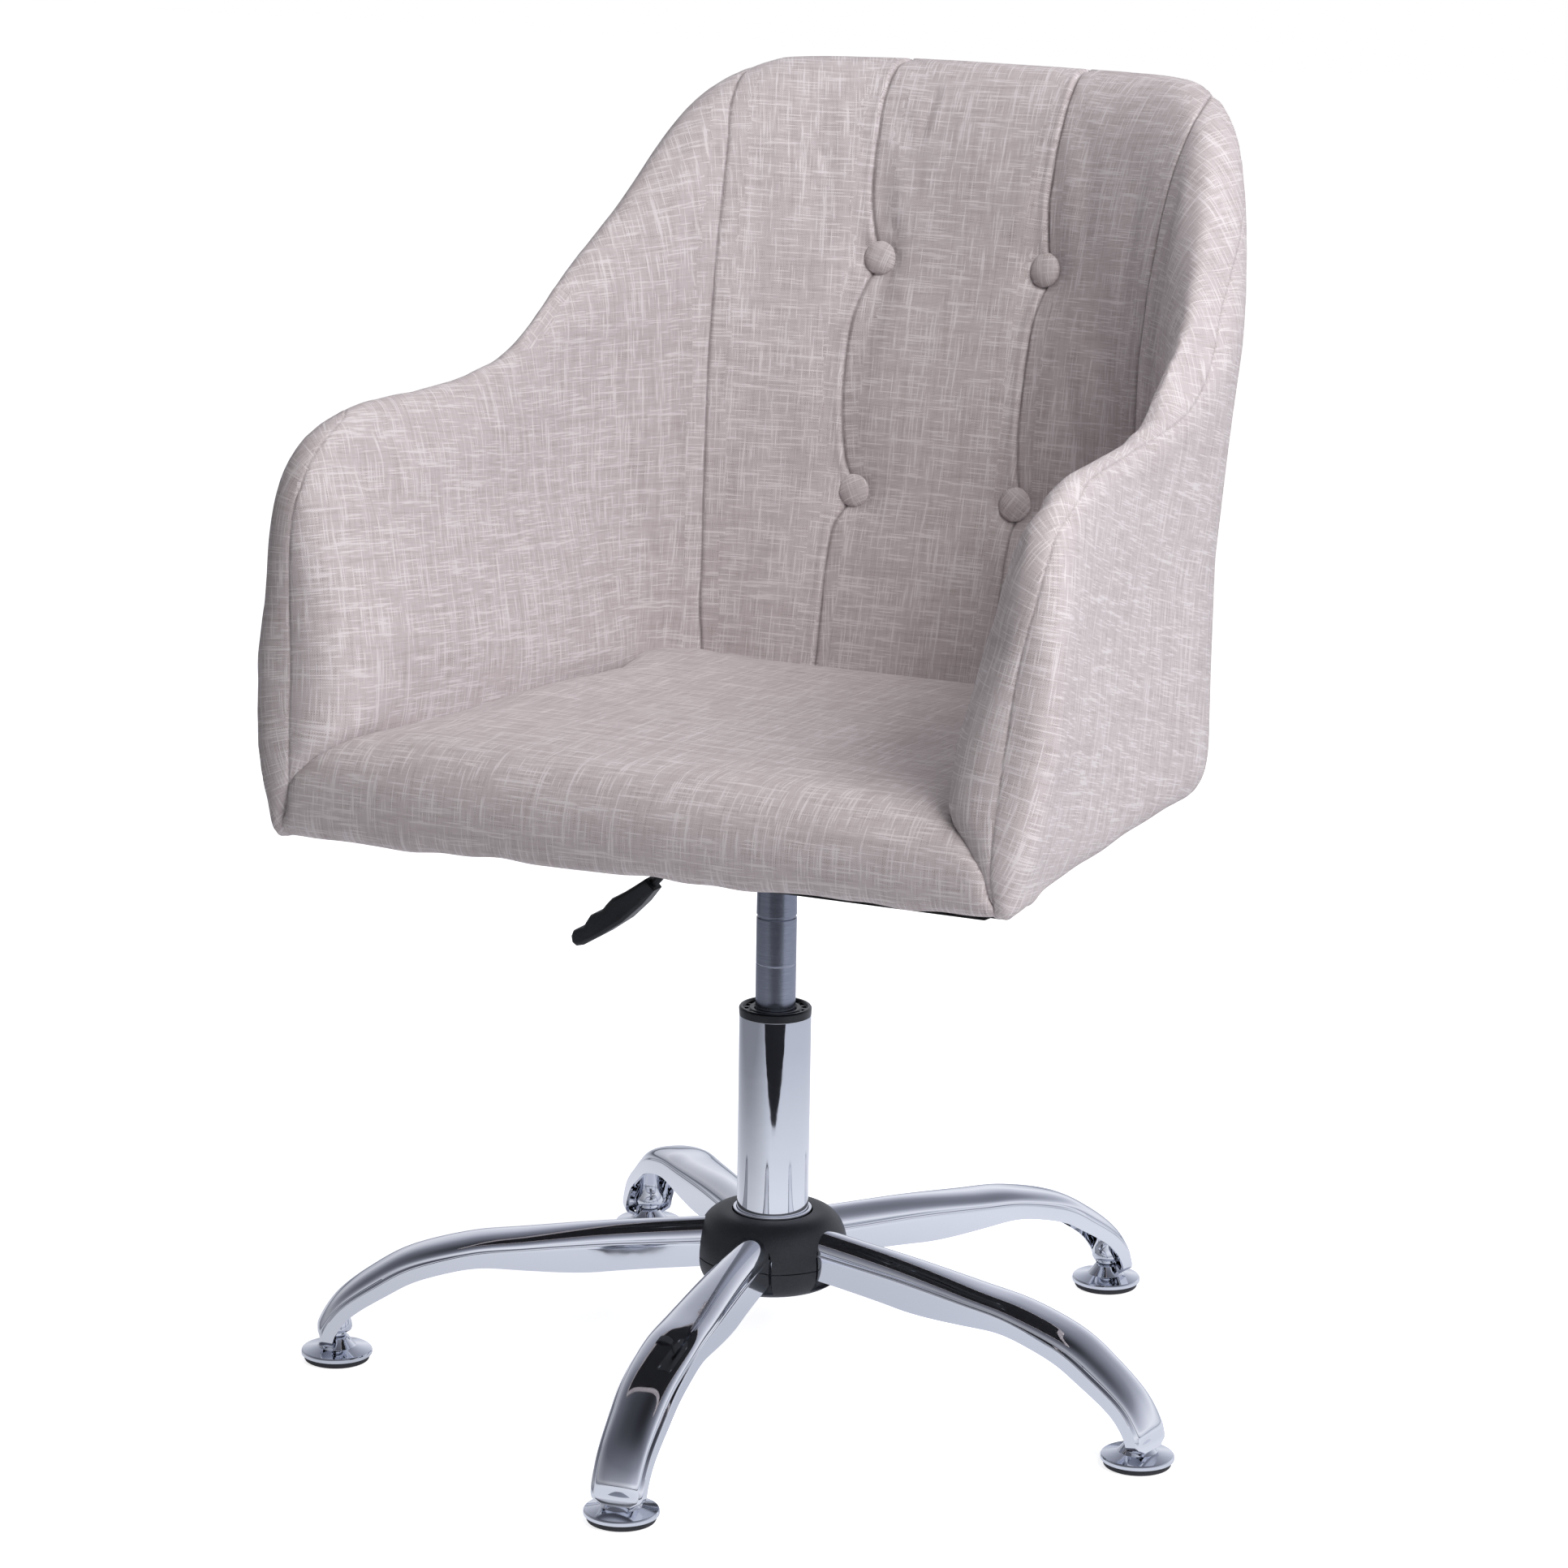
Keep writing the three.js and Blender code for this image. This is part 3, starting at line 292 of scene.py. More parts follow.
def slub_cloth(name, dark, middle, light, slub):
    """Plain weave with slubs, from a map in millimetres called weave."""
    material, tree, shader = finish(name, middle, Roughness=0.92, Sheen_Weight=0.12, Sheen_Roughness=0.45)
    shader.inputs["Specular IOR Level"].default_value = 0.12
    weave = add(tree, "ShaderNodeUVMap", uv_map="weave").outputs[0]
    split = add(tree, "ShaderNodeSeparateXYZ", {0: weave})

    def threads(across, along, shift):
        """Shade of one set of threads: every thread has its own, which drifts along its length."""
        number = sum_of(tree, "FLOOR", sum_of(tree, "MULTIPLY", across, 1 / THREAD))
        row = sum_of(tree, "MULTIPLY_ADD", number, 7.31, shift)
        spot = add(tree, "ShaderNodeCombineXYZ", {0: row, 1: sum_of(tree, "MULTIPLY", along, 1 / SLUB)})
        shade = noise(tree, spot.outputs[0], 1.0, 2.0, noise_dimensions="2D")
        # Neighbouring threads come from one cone of yarn, so paler and darker bands form as well.
        band = add(tree, "ShaderNodeCombineXYZ", {0: sum_of(tree, "MULTIPLY_ADD", across, 1 / BAND, shift),
                                                  1: sum_of(tree, "MULTIPLY", along, 1 / BAND_LENGTH)})
        cone = noise(tree, band.outputs[0], 1.0, 2.0, noise_dimensions="2D")
        return add(tree, "ShaderNodeMix", {0: 0.3, 2: shade, 3: cone}).outputs[0]

    warp = threads(split.outputs[0], split.outputs[1], 0.0)
    weft = threads(split.outputs[1], split.outputs[0], 400.0)
    over = add(tree, "ShaderNodeTexChecker", {"Vector": weave, "Scale": 1 / THREAD}).outputs["Fac"]
    shade = add(tree, "ShaderNodeMix", {0: over, 2: warp, 3: weft}).outputs[0]
    blotch = noise(tree, weave, 1 / BLOTCH, 3.0, noise_dimensions="2D")
    tone = sum_of(tree, "ADD", shade, sum_of(tree, "MULTIPLY_ADD", blotch, 0.07, -0.035))
    base = ramp(tree, tone, [(0.32, dark), (0.47, middle), (0.53, middle), (0.66, light)])
    # A slub is a thick pale stretch of one thread, which hides the thread that crosses it.
    pale = sum_of(tree, "MAXIMUM", ramp(tree, warp, [(0.555, 0.0), (0.64, 1.0)]),
                  ramp(tree, weft, [(0.545, 0.0), (0.63, 1.0)]))
    coloured = mixed(tree, sum_of(tree, "MULTIPLY", pale, SLUB_SHARE), base, linear(slub))
    # Painted shade: the gap between two sewn panels is darkened, standing in for the shadow in
    # the groove; the cloth's seam attribute says where and how much.
    seam_shade_share = add(tree, "ShaderNodeAttribute", attribute_name="painted_seam_shade").outputs["Fac"]
    darker = mixed(tree, sum_of(tree, "MULTIPLY", seam_shade_share, 0.55), coloured, linear("#5E5354"))
    tree.links.new(darker, shader.inputs["Base Color"])
    # Each thread is round, and dips where it goes under.
    rounds = []
    for way in split.outputs[:2]:
        wave = sum_of(tree, "SINE", sum_of(tree, "MULTIPLY", way, math.pi / THREAD))
        rounds.append(sum_of(tree, "ABSOLUTE", wave))
    crown = add(tree, "ShaderNodeMix", {0: over, 2: rounds[0], 3: rounds[1]}).outputs[0]
    bumped(tree, shader, sum_of(tree, "MULTIPLY_ADD", pale, 0.6, crown), 0.16, strength=0.8)
    return material


linen = slub_cloth("slub_linen_greige", "#ACA2A3", "#C3BBBD", "#D1CBCD", "#ECE9EA")
print("cloth:", linen.name)

# %% Finishes for the solids that stay
finishes = {
    "chrome_steel": chrome, "satin_steel": cylinder_steel, "plain_steel": plain_steel,
    "black_steel": powder_coat, "black_plastic": black_plastic, "grey_rubber": rubber,
    "linen_fabric": linen, "plywood": plywood, "black_felt": felt,
}
for row in frame["record"]["subparts"]:
    solid = frame["nodes"][row["node"]]
    solid.data.materials.clear()
    solid.data.materials.append(finishes[row["material_slot"]])
frame["nodes"]["seat_board"].data.materials[0] = lined_plywood

# %% [markdown]
# ## Turned pieces
#
# The column, the bush, the cylinder and the glides are all turned or drawn round. A profile of
# radius and height is spun about the axis in 96 steps, so the outline looks round, and its edges
# are bevelled, because no real edge is perfectly sharp and the bevel is what catches the light.

# %% Spinning a profile
def turned(profile, steps=96, bevel=0.4, segments=2, closed=True):
    """Spins [radius, height] points about the axis into a closed solid with soft edges."""
    bm = bmesh.new()
    points = [bm.verts.new((r, 0, z)) for r, z in profile]
    edges = [bm.edges.new(pair) for pair in zip(points, points[1:])]
    if closed:
        edges.append(bm.edges.new((points[-1], points[0])))
    bmesh.ops.spin(bm, geom=points + edges, cent=(0, 0, 0), axis=(0, 0, 1), angle=2 * math.pi,
                   steps=steps, use_merge=True, use_duplicate=False)
    bmesh.ops.remove_doubles(bm, verts=bm.verts, dist=1e-4)
    bmesh.ops.delete(bm, geom=[e for e in bm.edges if not e.link_faces], context="EDGES")
    bmesh.ops.recalc_face_normals(bm, faces=bm.faces)
    if bevel:
        corners = [e for e in bm.edges if e.is_manifold and e.calc_face_angle(0) > math.radians(24)]
        bmesh.ops.bevel(bm, geom=corners, offset=bevel, segments=segments, profile=0.5,
                        affect="EDGES", material=-1, clamp_overlap=True)
    return bm


def pull(bm, faces, by):
    """Extrudes a patch of faces and moves the new ones."""
    made = bmesh.ops.extrude_face_region(bm, geom=faces)["geom"]
    bmesh.ops.translate(bm, vec=by, verts=[v for v in made if isinstance(v, bmesh.types.BMVert)])


# %% [markdown]
# ## Column, bush and gas cylinder
#
# The column is a chromed tube. In its top sits a plastic bush with a thin flange, whose face has a
# raised rim and a ring of slots round a plate. The gas cylinder slides in the bush. Two grooves
# run round the cylinder: a dark one below the taper, and a faint one further down.

# %% Column and bush
COLUMN, TUBE_WALL = 25.0, 1.5
cylinder_radius = 14.0
column_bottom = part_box("column_tube")[0].z / MM
place(turned([(COLUMN - TUBE_WALL, column_bottom), (COLUMN, column_bottom), (COLUMN, column_top),
              (COLUMN - TUBE_WALL, column_top)], steps=128),
      "column_skin", "base", chrome, replaces=["column_tube"])

bush_low, bush_high = (v.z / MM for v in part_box("guide_bush"))
bush = turned([
    (cylinder_radius + 0.3, bush_low), (COLUMN - TUBE_WALL - 0.3, bush_low),
    (COLUMN - TUBE_WALL - 0.3, column_top + 0.3), (COLUMN + 0.1, column_top + 0.3),
    (COLUMN + 0.3, bush_high - 1.2), (COLUMN - 0.6, bush_high), (COLUMN - 2.4, bush_high),
    (COLUMN - 3.2, bush_high - 1.6), (COLUMN - 6.6, bush_high - 1.6), (COLUMN - 7.2, bush_high - 1.0),
    (cylinder_radius + 1.4, bush_high - 1.0), (cylinder_radius + 0.3, bush_high - 2.0),
], steps=120, bevel=0.25)
SLOT_DEPTH, SLOT_STEP = 2.2, 20      # mm, and degrees from one slot to the next
slot_faces = []
for face in bush.faces:
    centre = face.calc_center_median()
    turn = math.degrees(math.atan2(centre.y, centre.x)) % SLOT_STEP
    if face.normal.z > 0.9 and COLUMN - 6.4 < centre.xy.length < COLUMN - 3.4 and 4 < turn < 16:
        slot_faces.append(face)
pull(bush, slot_faces, (0, 0, -SLOT_DEPTH))
bmesh.ops.delete(bush, geom=[f for f in slot_faces if f.is_valid], context="FACES_ONLY")
bmesh.ops.recalc_face_normals(bush, faces=bush.faces)
place(bush, "bush_with_slots", "base", bush_plastic, replaces=["guide_bush"])
print("column", round(column_bottom), "to", round(column_top), "mm, with", 360 // SLOT_STEP, "slots in its bush")

# %% Cylinder
cyl_low, cyl_high = (v.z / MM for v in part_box("gas_cylinder"))
GROOVE, FAINT_GROOVE, BORE, END_WALL = 329.0, 295.0, 12.2, 4.0
ROD_HOLE, PIN_HOLE = 5.3, 3.3
bore_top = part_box("release_pin")[0].z / MM - 2.5
cylinder = turned([
    (ROD_HOLE, cyl_low), (cylinder_radius - 1, cyl_low), (cylinder_radius, cyl_low + 1),
    (cylinder_radius, FAINT_GROOVE - 0.5), (cylinder_radius - 0.25, FAINT_GROOVE),
    (cylinder_radius, FAINT_GROOVE + 0.5), (cylinder_radius, GROOVE - 1.2),
    (cylinder_radius - 0.9, GROOVE - 0.7), (cylinder_radius - 0.9, GROOVE + 0.7),
    (cylinder_radius, GROOVE + 1.2), (13.3, cyl_high), (PIN_HOLE, cyl_high), (PIN_HOLE, bore_top),
    (BORE, bore_top), (BORE, cyl_low + END_WALL), (ROD_HOLE, cyl_low + END_WALL),
], steps=96, bevel=0.15)
place(cylinder, "cylinder_skin", "seat", cylinder_steel, replaces=["gas_cylinder"])
print("cylinder", round(cyl_low), "to", round(cyl_high), "mm, bored up to", round(bore_top))

# %% [markdown]
# ## The legs
#
# Each leg is one pressing of 2 mm steel. Near the hub it is nearly half a tube with flat skirts
# below it. Further out the dome flattens and the skirts narrow, and at the tip the dome sinks into
# a flat rim that runs round the rounded end. A flat grid is bent to that section all along the
# leg's line, and then given its thickness.

# %% Curves
def smoothstep(value, low, high):
    """A soft step: 0 up to low, 1 from high on."""
    t = np.clip((value - low) / (high - low), 0, 1)
    return t * t * (3 - 2 * t)


def lerp(a, b, t):
    """The value a share t of the way from a to b."""
    return a + (b - a) * t


def spline(points, count=2000):
    """A smooth line through points; returns a function of the share of its length."""
    p = np.array(points, float)
    n = len(p) - 1
    p = np.pad(p, ((1, 1), (0, 0)), mode="edge")
    t = np.linspace(0, n, count)
    i = np.minimum(t.astype(int), n - 1)
    f = (t - i)[:, None]
    before, here, there, after = p[i], p[i + 1], p[i + 2], p[i + 3]
    go, come = (there - before) / 2, (after - here) / 2
    dense = (2 * here - 2 * there + go + come) * f ** 3
    dense += (3 * there - 3 * here - 2 * go - come) * f ** 2 + go * f + here
    steps = np.linalg.norm(np.diff(dense, axis=0), axis=1)
    length = np.concatenate([[0], np.cumsum(steps)])

    def at(share):
        s = np.asarray(share, float) * length[-1]
        return np.stack([np.interp(s, length, dense[:, k]) for k in range(dense.shape[1])], -1)

    at.length = length[-1]
    return at


print("a quarter of the way up a step of 1:", smoothstep(0.25, 0, 1))

# %% The leg's line
GLIDE_CIRCLE = 305.9
LEG_TOP, LEG_SHOULDER, LEG_END = 109.0, 94.0, 14.5
TIP = GLIDE_CIRCLE + 16.5
leg_line = spline([
    [28.5, LEG_TOP + 1.6], [50, LEG_TOP], [GLIDE_CIRCLE - 191, LEG_TOP - 4.4],
    [GLIDE_CIRCLE - 133, (LEG_TOP + LEG_SHOULDER) / 2 - 3], [GLIDE_CIRCLE - 94, LEG_SHOULDER],
    [GLIDE_CIRCLE - 52, LEG_SHOULDER - 11], [GLIDE_CIRCLE - 24, LEG_SHOULDER - 26.3],
    [GLIDE_CIRCLE - 1, LEG_SHOULDER - 44.5], [TIP - 4.5, LEG_END + 16], [TIP, LEG_END],
])
print("the leg's line is", round(leg_line.length), "mm long")

# %% The leg's section
DOME_END, LEDGE_END = 0.62, 0.70      # shares of the way across, from the crest to the edge
END_ROUND = 7                         # mm, rounding of the corners at the tip


def leg_point(t, a, grow=0.0):
    """The leg's outer surface: t along it, a from -1 to 1 across it, edge to edge."""
    here = leg_line(t)
    ahead = leg_line(np.minimum(t + 0.004, 1)) - leg_line(np.maximum(t - 0.004, 0))
    ahead /= np.linalg.norm(ahead, axis=-1, keepdims=True)
    down = np.stack([ahead[..., 1], -ahead[..., 0]], -1)
    half = np.where(t < 0.65, lerp(15.5, 20.4, smoothstep(t, 0.1, 0.65)),
                    lerp(20.4, 18.0, smoothstep(t, 0.65, 1))) + grow
    depth = np.where(t < 0.6, lerp(31, 19, smoothstep(t, 0.28, 0.6)), lerp(19, 14, smoothstep(t, 0.75, 1))) + grow
    crown = lerp(lerp(12.5, 8.0, smoothstep(t, 0.05, 0.6)), 4.6, smoothstep(t, 0.78, 0.97))
    ledge = lerp(0.9, 2.6, smoothstep(t, 0.55, 0.8))
    dome = half - ledge
    left = (1 - t) * leg_line.length
    pinch = np.where(left < END_ROUND,
                     END_ROUND - np.sqrt(np.maximum(END_ROUND ** 2 - (END_ROUND - left) ** 2, 0)), 0)
    s = np.abs(a)
    curve = np.sin(np.clip(s / DOME_END, 0, 1) * math.pi / 2)
    exponent = lerp(2.0, 2.6, smoothstep(t, 0.1, 0.6))
    dome_drop = crown * (1 - (1 - np.minimum(curve, 0.9999) ** exponent) ** (1 / 2))
    # Just before the end the dome drops to the flat rim.
    dome_drop = lerp(dome_drop, crown, smoothstep(t, 0.962, 0.982))
    on_ledge = np.clip((s - DOME_END) / (LEDGE_END - DOME_END), 0, 1)
    on_side = np.clip((s - LEDGE_END) / (1 - LEDGE_END), 0, 1)
    parts = [s < DOME_END, s < LEDGE_END]
    x = np.select(parts, [dome * curve, dome + ledge * on_ledge], half) * (1 - pinch / half)
    side_drop = lerp(crown + 0.5, np.maximum(depth, crown + 2), on_side)
    drop = np.select(parts, [dome_drop, crown + 0.5 * on_ledge], side_drop) - grow
    flat = here + down * drop[..., None]
    return np.stack([flat[..., 0], -np.sign(a) * x, flat[..., 1]], -1)


def leg_grid(along, across):
    """A grid bent to the leg's outer surface."""
    bm = bmesh.new()
    bmesh.ops.create_grid(bm, x_segments=along, y_segments=across, size=1)
    co = np.array([v.co for v in bm.verts])
    bent = leg_point((co[:, 0] + 1) / 2, co[:, 1])
    for vert, point in zip(bm.verts, bent):
        vert.co = point
    bmesh.ops.recalc_face_normals(bm, faces=bm.faces)
    return bm


print("the hub end is", round(2 * float(leg_point(np.array([0.0]), np.array([0.99]))[0, 1]) * -1), "mm wide")

# %% The legs
BASE_TURN, LEG_SHEET = 60.9, 2.2
leg_turns = [math.radians(BASE_TURN + 72 * i) for i in range(5)]
for number, turn in enumerate(leg_turns, 1):
    leg = leg_grid(96, 56)
    top = max(leg.faces, key=lambda f: f.calc_center_median().z)
    if top.normal.z < 0:
        bmesh.ops.reverse_faces(leg, faces=leg.faces)
    bmesh.ops.solidify(leg, geom=leg.faces, thickness=LEG_SHEET)
    rims = [e for e in leg.edges if e.is_manifold and e.calc_face_angle(0) > math.radians(60)]
    bmesh.ops.bevel(leg, geom=rims, offset=0.4, segments=2, profile=0.5, affect="EDGES", material=-1,
                    clamp_overlap=True)
    bmesh.ops.rotate(leg, verts=leg.verts, cent=(0, 0, 0), matrix=Matrix.Rotation(turn, 3, "Z"))
    place(leg, f"leg_pressing_{number}", "base", chrome, sharp=50, replaces=[f"leg_{number}"])
print("legs:", len(leg_turns), "of sheet", LEG_SHEET, "mm thick")

# %% [markdown]
# ## The glides
#
# A glide is a pressed chrome disc with a cone in its middle, clipped over a rubber pad. Its stem
# turns in a socket riveted under the leg's tip, which has a bulbous collar.

# %% Profiles of the glide
PAD_TOP, DISC, RIM, CONE, CONE_TOP, STEM, SOCKET = 4.6, 25.0, 3.4, 14.5, 17.6, 5.5, 21.2
disc_profile = [
    (23.6, PAD_TOP), (DISC, PAD_TOP), (DISC, PAD_TOP + RIM - 1.2), (DISC - 0.7, PAD_TOP + RIM - 0.2),
    (CONE + 4, PAD_TOP + RIM + 1.0), (CONE - 1, PAD_TOP + RIM + 2.2), (CONE - 4.4, CONE_TOP - 3.4),
    (STEM + 3.0, CONE_TOP - 0.8), (STEM + 1.8, CONE_TOP), (STEM + 0.3, CONE_TOP), (STEM + 0.3, CONE_TOP - 1.4),
    (STEM + 2.4, CONE_TOP - 3.4), (CONE - 2, PAD_TOP + RIM + 0.4), (23.6, PAD_TOP + RIM - 1.6),
]
pad_profile = [(0, 0), (21.6, 0), (22.6, 0.5), (23.0, 1.4), (23.4, PAD_TOP - 0.3), (23.2, PAD_TOP + 1.4),
               (CONE - 2, PAD_TOP + 3.0), (0, PAD_TOP + 3.0)]
stem_profile = [
    (0, 8.0), (STEM + 1.6, 8.0), (STEM + 1.4, 13.0), (STEM - 0.1, 13.4), (STEM - 0.1, CONE_TOP + 0.2),
    (STEM + 0.9, CONE_TOP + 0.4), (STEM + 1.5, CONE_TOP + 1.6), (STEM + 0.9, SOCKET - 0.4),
    (STEM - 0.1, SOCKET - 0.3), (STEM - 0.1, 33.0), (0, 33.0),
]
socket_profile = [
    (0, 34.0), (STEM + 0.3, 34.0), (STEM + 0.3, SOCKET), (8.6, SOCKET), (10.4, SOCKET + 1.0),
    (11.0, SOCKET + 3.0), (10.6, SOCKET + 6.0), (9.4, SOCKET + 9.5), (8.0, SOCKET + 14.0), (7.4, SOCKET + 19.0),
    (7.4, SOCKET + 27.0), (0, SOCKET + 27.0),
]
print("a glide is", 2 * DISC, "mm across, and its cone is", CONE_TOP, "mm high")

# %% Glides
glide_pieces = [
    ("glide_cup", disc_profile, glide_chrome, "chrome_steel", "glide_disc", 0.2),
    ("glide_sole", pad_profile, rubber, "grey_rubber", "glide_pad", 0.2),
    ("glide_spindle", stem_profile, glide_chrome, "chrome_steel", "glide_stem", 0.2),
]
for number, turn in enumerate(leg_turns, 1):
    spot = Vector((math.cos(turn), math.sin(turn), 0)) * GLIDE_CIRCLE
    for name, profile, material, slot, node, soft in glide_pieces:
        bm = turned(profile, steps=64, bevel=soft, closed=profile[0][0] > 0)
        bmesh.ops.translate(bm, vec=spot, verts=bm.verts)
        place(bm, f"{name}_{number}", f"glide_{number}", material, replaces=[f"{node}_{number}"])
    bm = turned(socket_profile, steps=64, bevel=0.25, closed=False)
    # Under the curved tip the outer side of the socket's neck is cut away to stay inside the leg.
    for vert in bm.verts:
        room = np.interp(vert.co.x, [-12, 0, 8, 12], [60, 44, 33, 27])
        vert.co.z = min(vert.co.z, room)
    bmesh.ops.rotate(bm, verts=bm.verts, cent=(0, 0, 0), matrix=Matrix.Rotation(turn, 3, "Z"))
    bmesh.ops.translate(bm, vec=spot, verts=bm.verts)
    place(bm, f"glide_socket_{number}", "base", glide_chrome, replaces=[f"leg_socket_{number}"])
print("glides:", number)

# %% [markdown]
# ## The hub cover
#
# Two black plastic shells meet at a parting line and hide the welded hub. Each leg comes out of
# an arched opening that follows the leg with a thin dark gap. The shells are spun as rings with a
# wall, and the openings are cut with the leg's own section, grown a little and pulled outwards.

# %% The opening for a leg
GAP = 0.9             # mm between a leg and its opening
arch = leg_point(np.full(41, 0.13), np.linspace(-1, 1, 41), grow=GAP)
ends = [Vector((22, y, z)) for _, y, z in arch]
cutter = bmesh.new()
low = Vector((0, 0, 7))
arch_face = cutter.faces.new([cutter.verts.new(p) for p in [ends[0] - low] + ends + [ends[-1] - low]])
pull(cutter, [arch_face], (50, 0, -5))
bmesh.ops.translate(cutter, vec=(0, 0, 1.5), verts=cutter.verts)
bmesh.ops.recalc_face_normals(cutter, faces=cutter.faces)
cutter_mesh = bpy.data.meshes.new("leg_opening")
cutter.to_mesh(cutter_mesh)
cutter.free()
print("the opening is", round(float(np.ptp(arch[:, 1]))), "mm wide")

# %% The shells of the hub
COVER, COVER_WALL, SPLIT, HUB_BOTTOM = 53.2, 2.5, 85.0, 64.0
PARTING = 0.25        # mm, half the gap between the shells
cover_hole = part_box("hub_tube")[1].x / MM - axis.x / MM + 0.4
cover_top = hub_top - 1.6


def bowl(radius, low, high, foot, steps=14):
    """A quarter of a squashed circle from the widest place to the foot, in [radius, height]."""
    points = []
    for i in range(steps + 1):
        a = math.pi / 2 * i / steps
        points.append((foot + (radius - foot) * math.cos(a) ** 0.8, low + (high - low) * math.sin(a) ** 0.9))
    return points


upper = turned([(cover_hole, cover_top)] + bowl(COVER, SPLIT + PARTING, cover_top, cover_hole + 3)[::-1]
               + bowl(COVER - COVER_WALL, SPLIT + PARTING, cover_top - COVER_WALL, cover_hole + 2)
               + [(cover_hole, cover_top - COVER_WALL)], steps=128, bevel=0.35)
lower = turned([(22.0, HUB_BOTTOM)] + bowl(COVER, SPLIT - PARTING, HUB_BOTTOM, 34)[::-1]
               + bowl(COVER - COVER_WALL, SPLIT - PARTING, HUB_BOTTOM + COVER_WALL, 33)
               + [(22.0, HUB_BOTTOM + COVER_WALL)], steps=128, bevel=0.35)
for bm, name, node in ((upper, "cover_upper", "hub_cover_upper"), (lower, "cover_lower", "hub_cover_lower")):
    shell = place(bm, name, "base", black_plastic, replaces=[node])
    tools = []
    for turn in leg_turns:
        tool = bpy.data.objects.new("opening", cutter_mesh.copy())
        tool.data.transform(Matrix.Translation(axis) @ Matrix.Scale(MM, 4) @ Matrix.Rotation(turn, 4, "Z"))
        bpy.context.scene.collection.objects.link(tool)
        cut = shell.modifiers.new("opening", "BOOLEAN")
        cut.object, cut.operation, cut.solver = tool, "DIFFERENCE", "EXACT"
        tools.append(tool)
    graph = bpy.context.evaluated_depsgraph_get()
    shell.data = bpy.data.meshes.new_from_object(shell.evaluated_get(graph))
    shell.modifiers.clear()
    for tool in tools:
        bpy.data.objects.remove(tool)
    shell.data.set_sharp_from_angle(angle=math.radians(30))
    print(name, len(shell.data.polygons), "faces after the openings")
ring = turned([(COLUMN + 0.3, 63.0), (cover_hole - 0.7, 63.0), (cover_hole - 0.7, hub_top), (COLUMN + 0.3, hub_top)],
              steps=96, bevel=0.6)
place(ring, "hub_ring", "base", chrome, replaces=["hub_tube"])

# %% [markdown]
# ## The lever
#
# The release lever is a bent steel rod with a moulded paddle. The paddle widens to a blunt end and
# its lower edge is scalloped for the fingers. Its outline is drawn as one face, extruded to its
# depth and rounded.

# %% Paddle
HANDLE_START, HANDLE_ANGLE, HANDLE_DEPTH = Vector((-95, 0, 340)), math.radians(42), 24.0
paddle_outline = [
    (0, 5.2), (14, 7.6), (34, 8.4), (54, 6.2), (70, 3.2), (75, 0.6), (76, -3.4), (73.5, -7.4), (69.5, -9.4),
    (65, -8.2), (61, -7.0), (56, -8.6), (51, -10.0), (46, -8.8), (41, -7.6), (35, -8.8), (29, -9.4), (24, -8.0),
    (18, -7.2), (10, -6.2), (0, -5.2),
]
paddle = bmesh.new()
face = paddle.faces.new([paddle.verts.new((x, -HANDLE_DEPTH / 2, z)) for x, z in paddle_outline])
pull(paddle, [face], (0, HANDLE_DEPTH, 0))
bmesh.ops.recalc_face_normals(paddle, faces=paddle.faces)
long_edges = [e for e in paddle.edges if abs(e.verts[0].co.y - e.verts[1].co.y) < 0.1]
bmesh.ops.bevel(paddle, geom=long_edges, offset=3.2, segments=4, profile=0.5, affect="EDGES", material=-1)
for vert in paddle.verts:
    # The paddle is thinner at the rod.
    vert.co.y *= lerp(0.62, 1.0, np.clip(vert.co.x / 30, 0, 1))
bmesh.ops.rotate(paddle, verts=paddle.verts, cent=(0, 0, 0),
                 matrix=Matrix.Rotation(math.pi - HANDLE_ANGLE, 3, "Y"))
bmesh.ops.translate(paddle, vec=HANDLE_START, verts=paddle.verts)
print("paddle:", len(paddle.faces), "faces")
place(paddle, "lever_paddle", "lever", black_plastic, sharp=50, replaces=["lever_handle"])

# %% [markdown]
# ## The shape of the tub
#
# The tub is one padded wall that runs from one arm round the back to the other. Its inner and
# outer faces are plan curves that change with height, and the padding thins to nothing at the rim
# and tucks in at the foot. The same measures shape the solid, so the cloth fits it. The wall is
# unrolled to a flat panel, whose edges are the foot and the rim, and each spot of the panel is
# taken to the inner or the outer face.

# %% Measures of the tub
SKIRT, BACK_TOP, ARM_FRONT = 406.0, 884.0, -240.0
SEAT_LINE, SEAT_BACK, LEAN = 457.0, 222.0, 0.2815       # where the back starts, and its lean
THICK = 50.0          # mm through the back
FLAT_SHARE = 0.16     # how much of the back is flat before it turns
UNROLL = 350.0        # mm of panel for one unit of the way round
RIM_CORNER = 7        # which point of the arm's rim is the panel's corner


def table(*rows):
    """A value that changes with height, from [height, value] rows."""
    z, value = np.array(rows, float).T
    return lambda height: np.interp(height, z, value)


arm_outer = table((425, 273), (455, 283), (520, 296), (600, 298), (690, 291))
tub_outer = table((440, 258), (570, 251.5), (716, 260.5), (789, 256), (884, 248))
arm_inner = table((425, 250), (476, 215), (520, 218), (561, 228), (607, 240), (690, 253))
tub_inner = table((457, 198), (520, 208), (600, 226), (690, 236), (884, 222))
inner_corner = table((457, 40), (520, 95), (603, 170), (697, 222), (744, 225), (884, 200))
outer_corner = table((440, 145), (570, 170), (716, 200))
faces = {
    "inner": lambda z: (0, tub_inner(z), arm_inner(z), inner_corner(z)),
    "spine": lambda z: (0, tub_inner(z), arm_inner(z), np.minimum(inner_corner(z), 170)),
    "outer": lambda z: (THICK, tub_outer(z), arm_outer(z), outer_corner(z)),
}
print("the tub is", round(2 * float(arm_outer(600))), "mm wide at the arms")


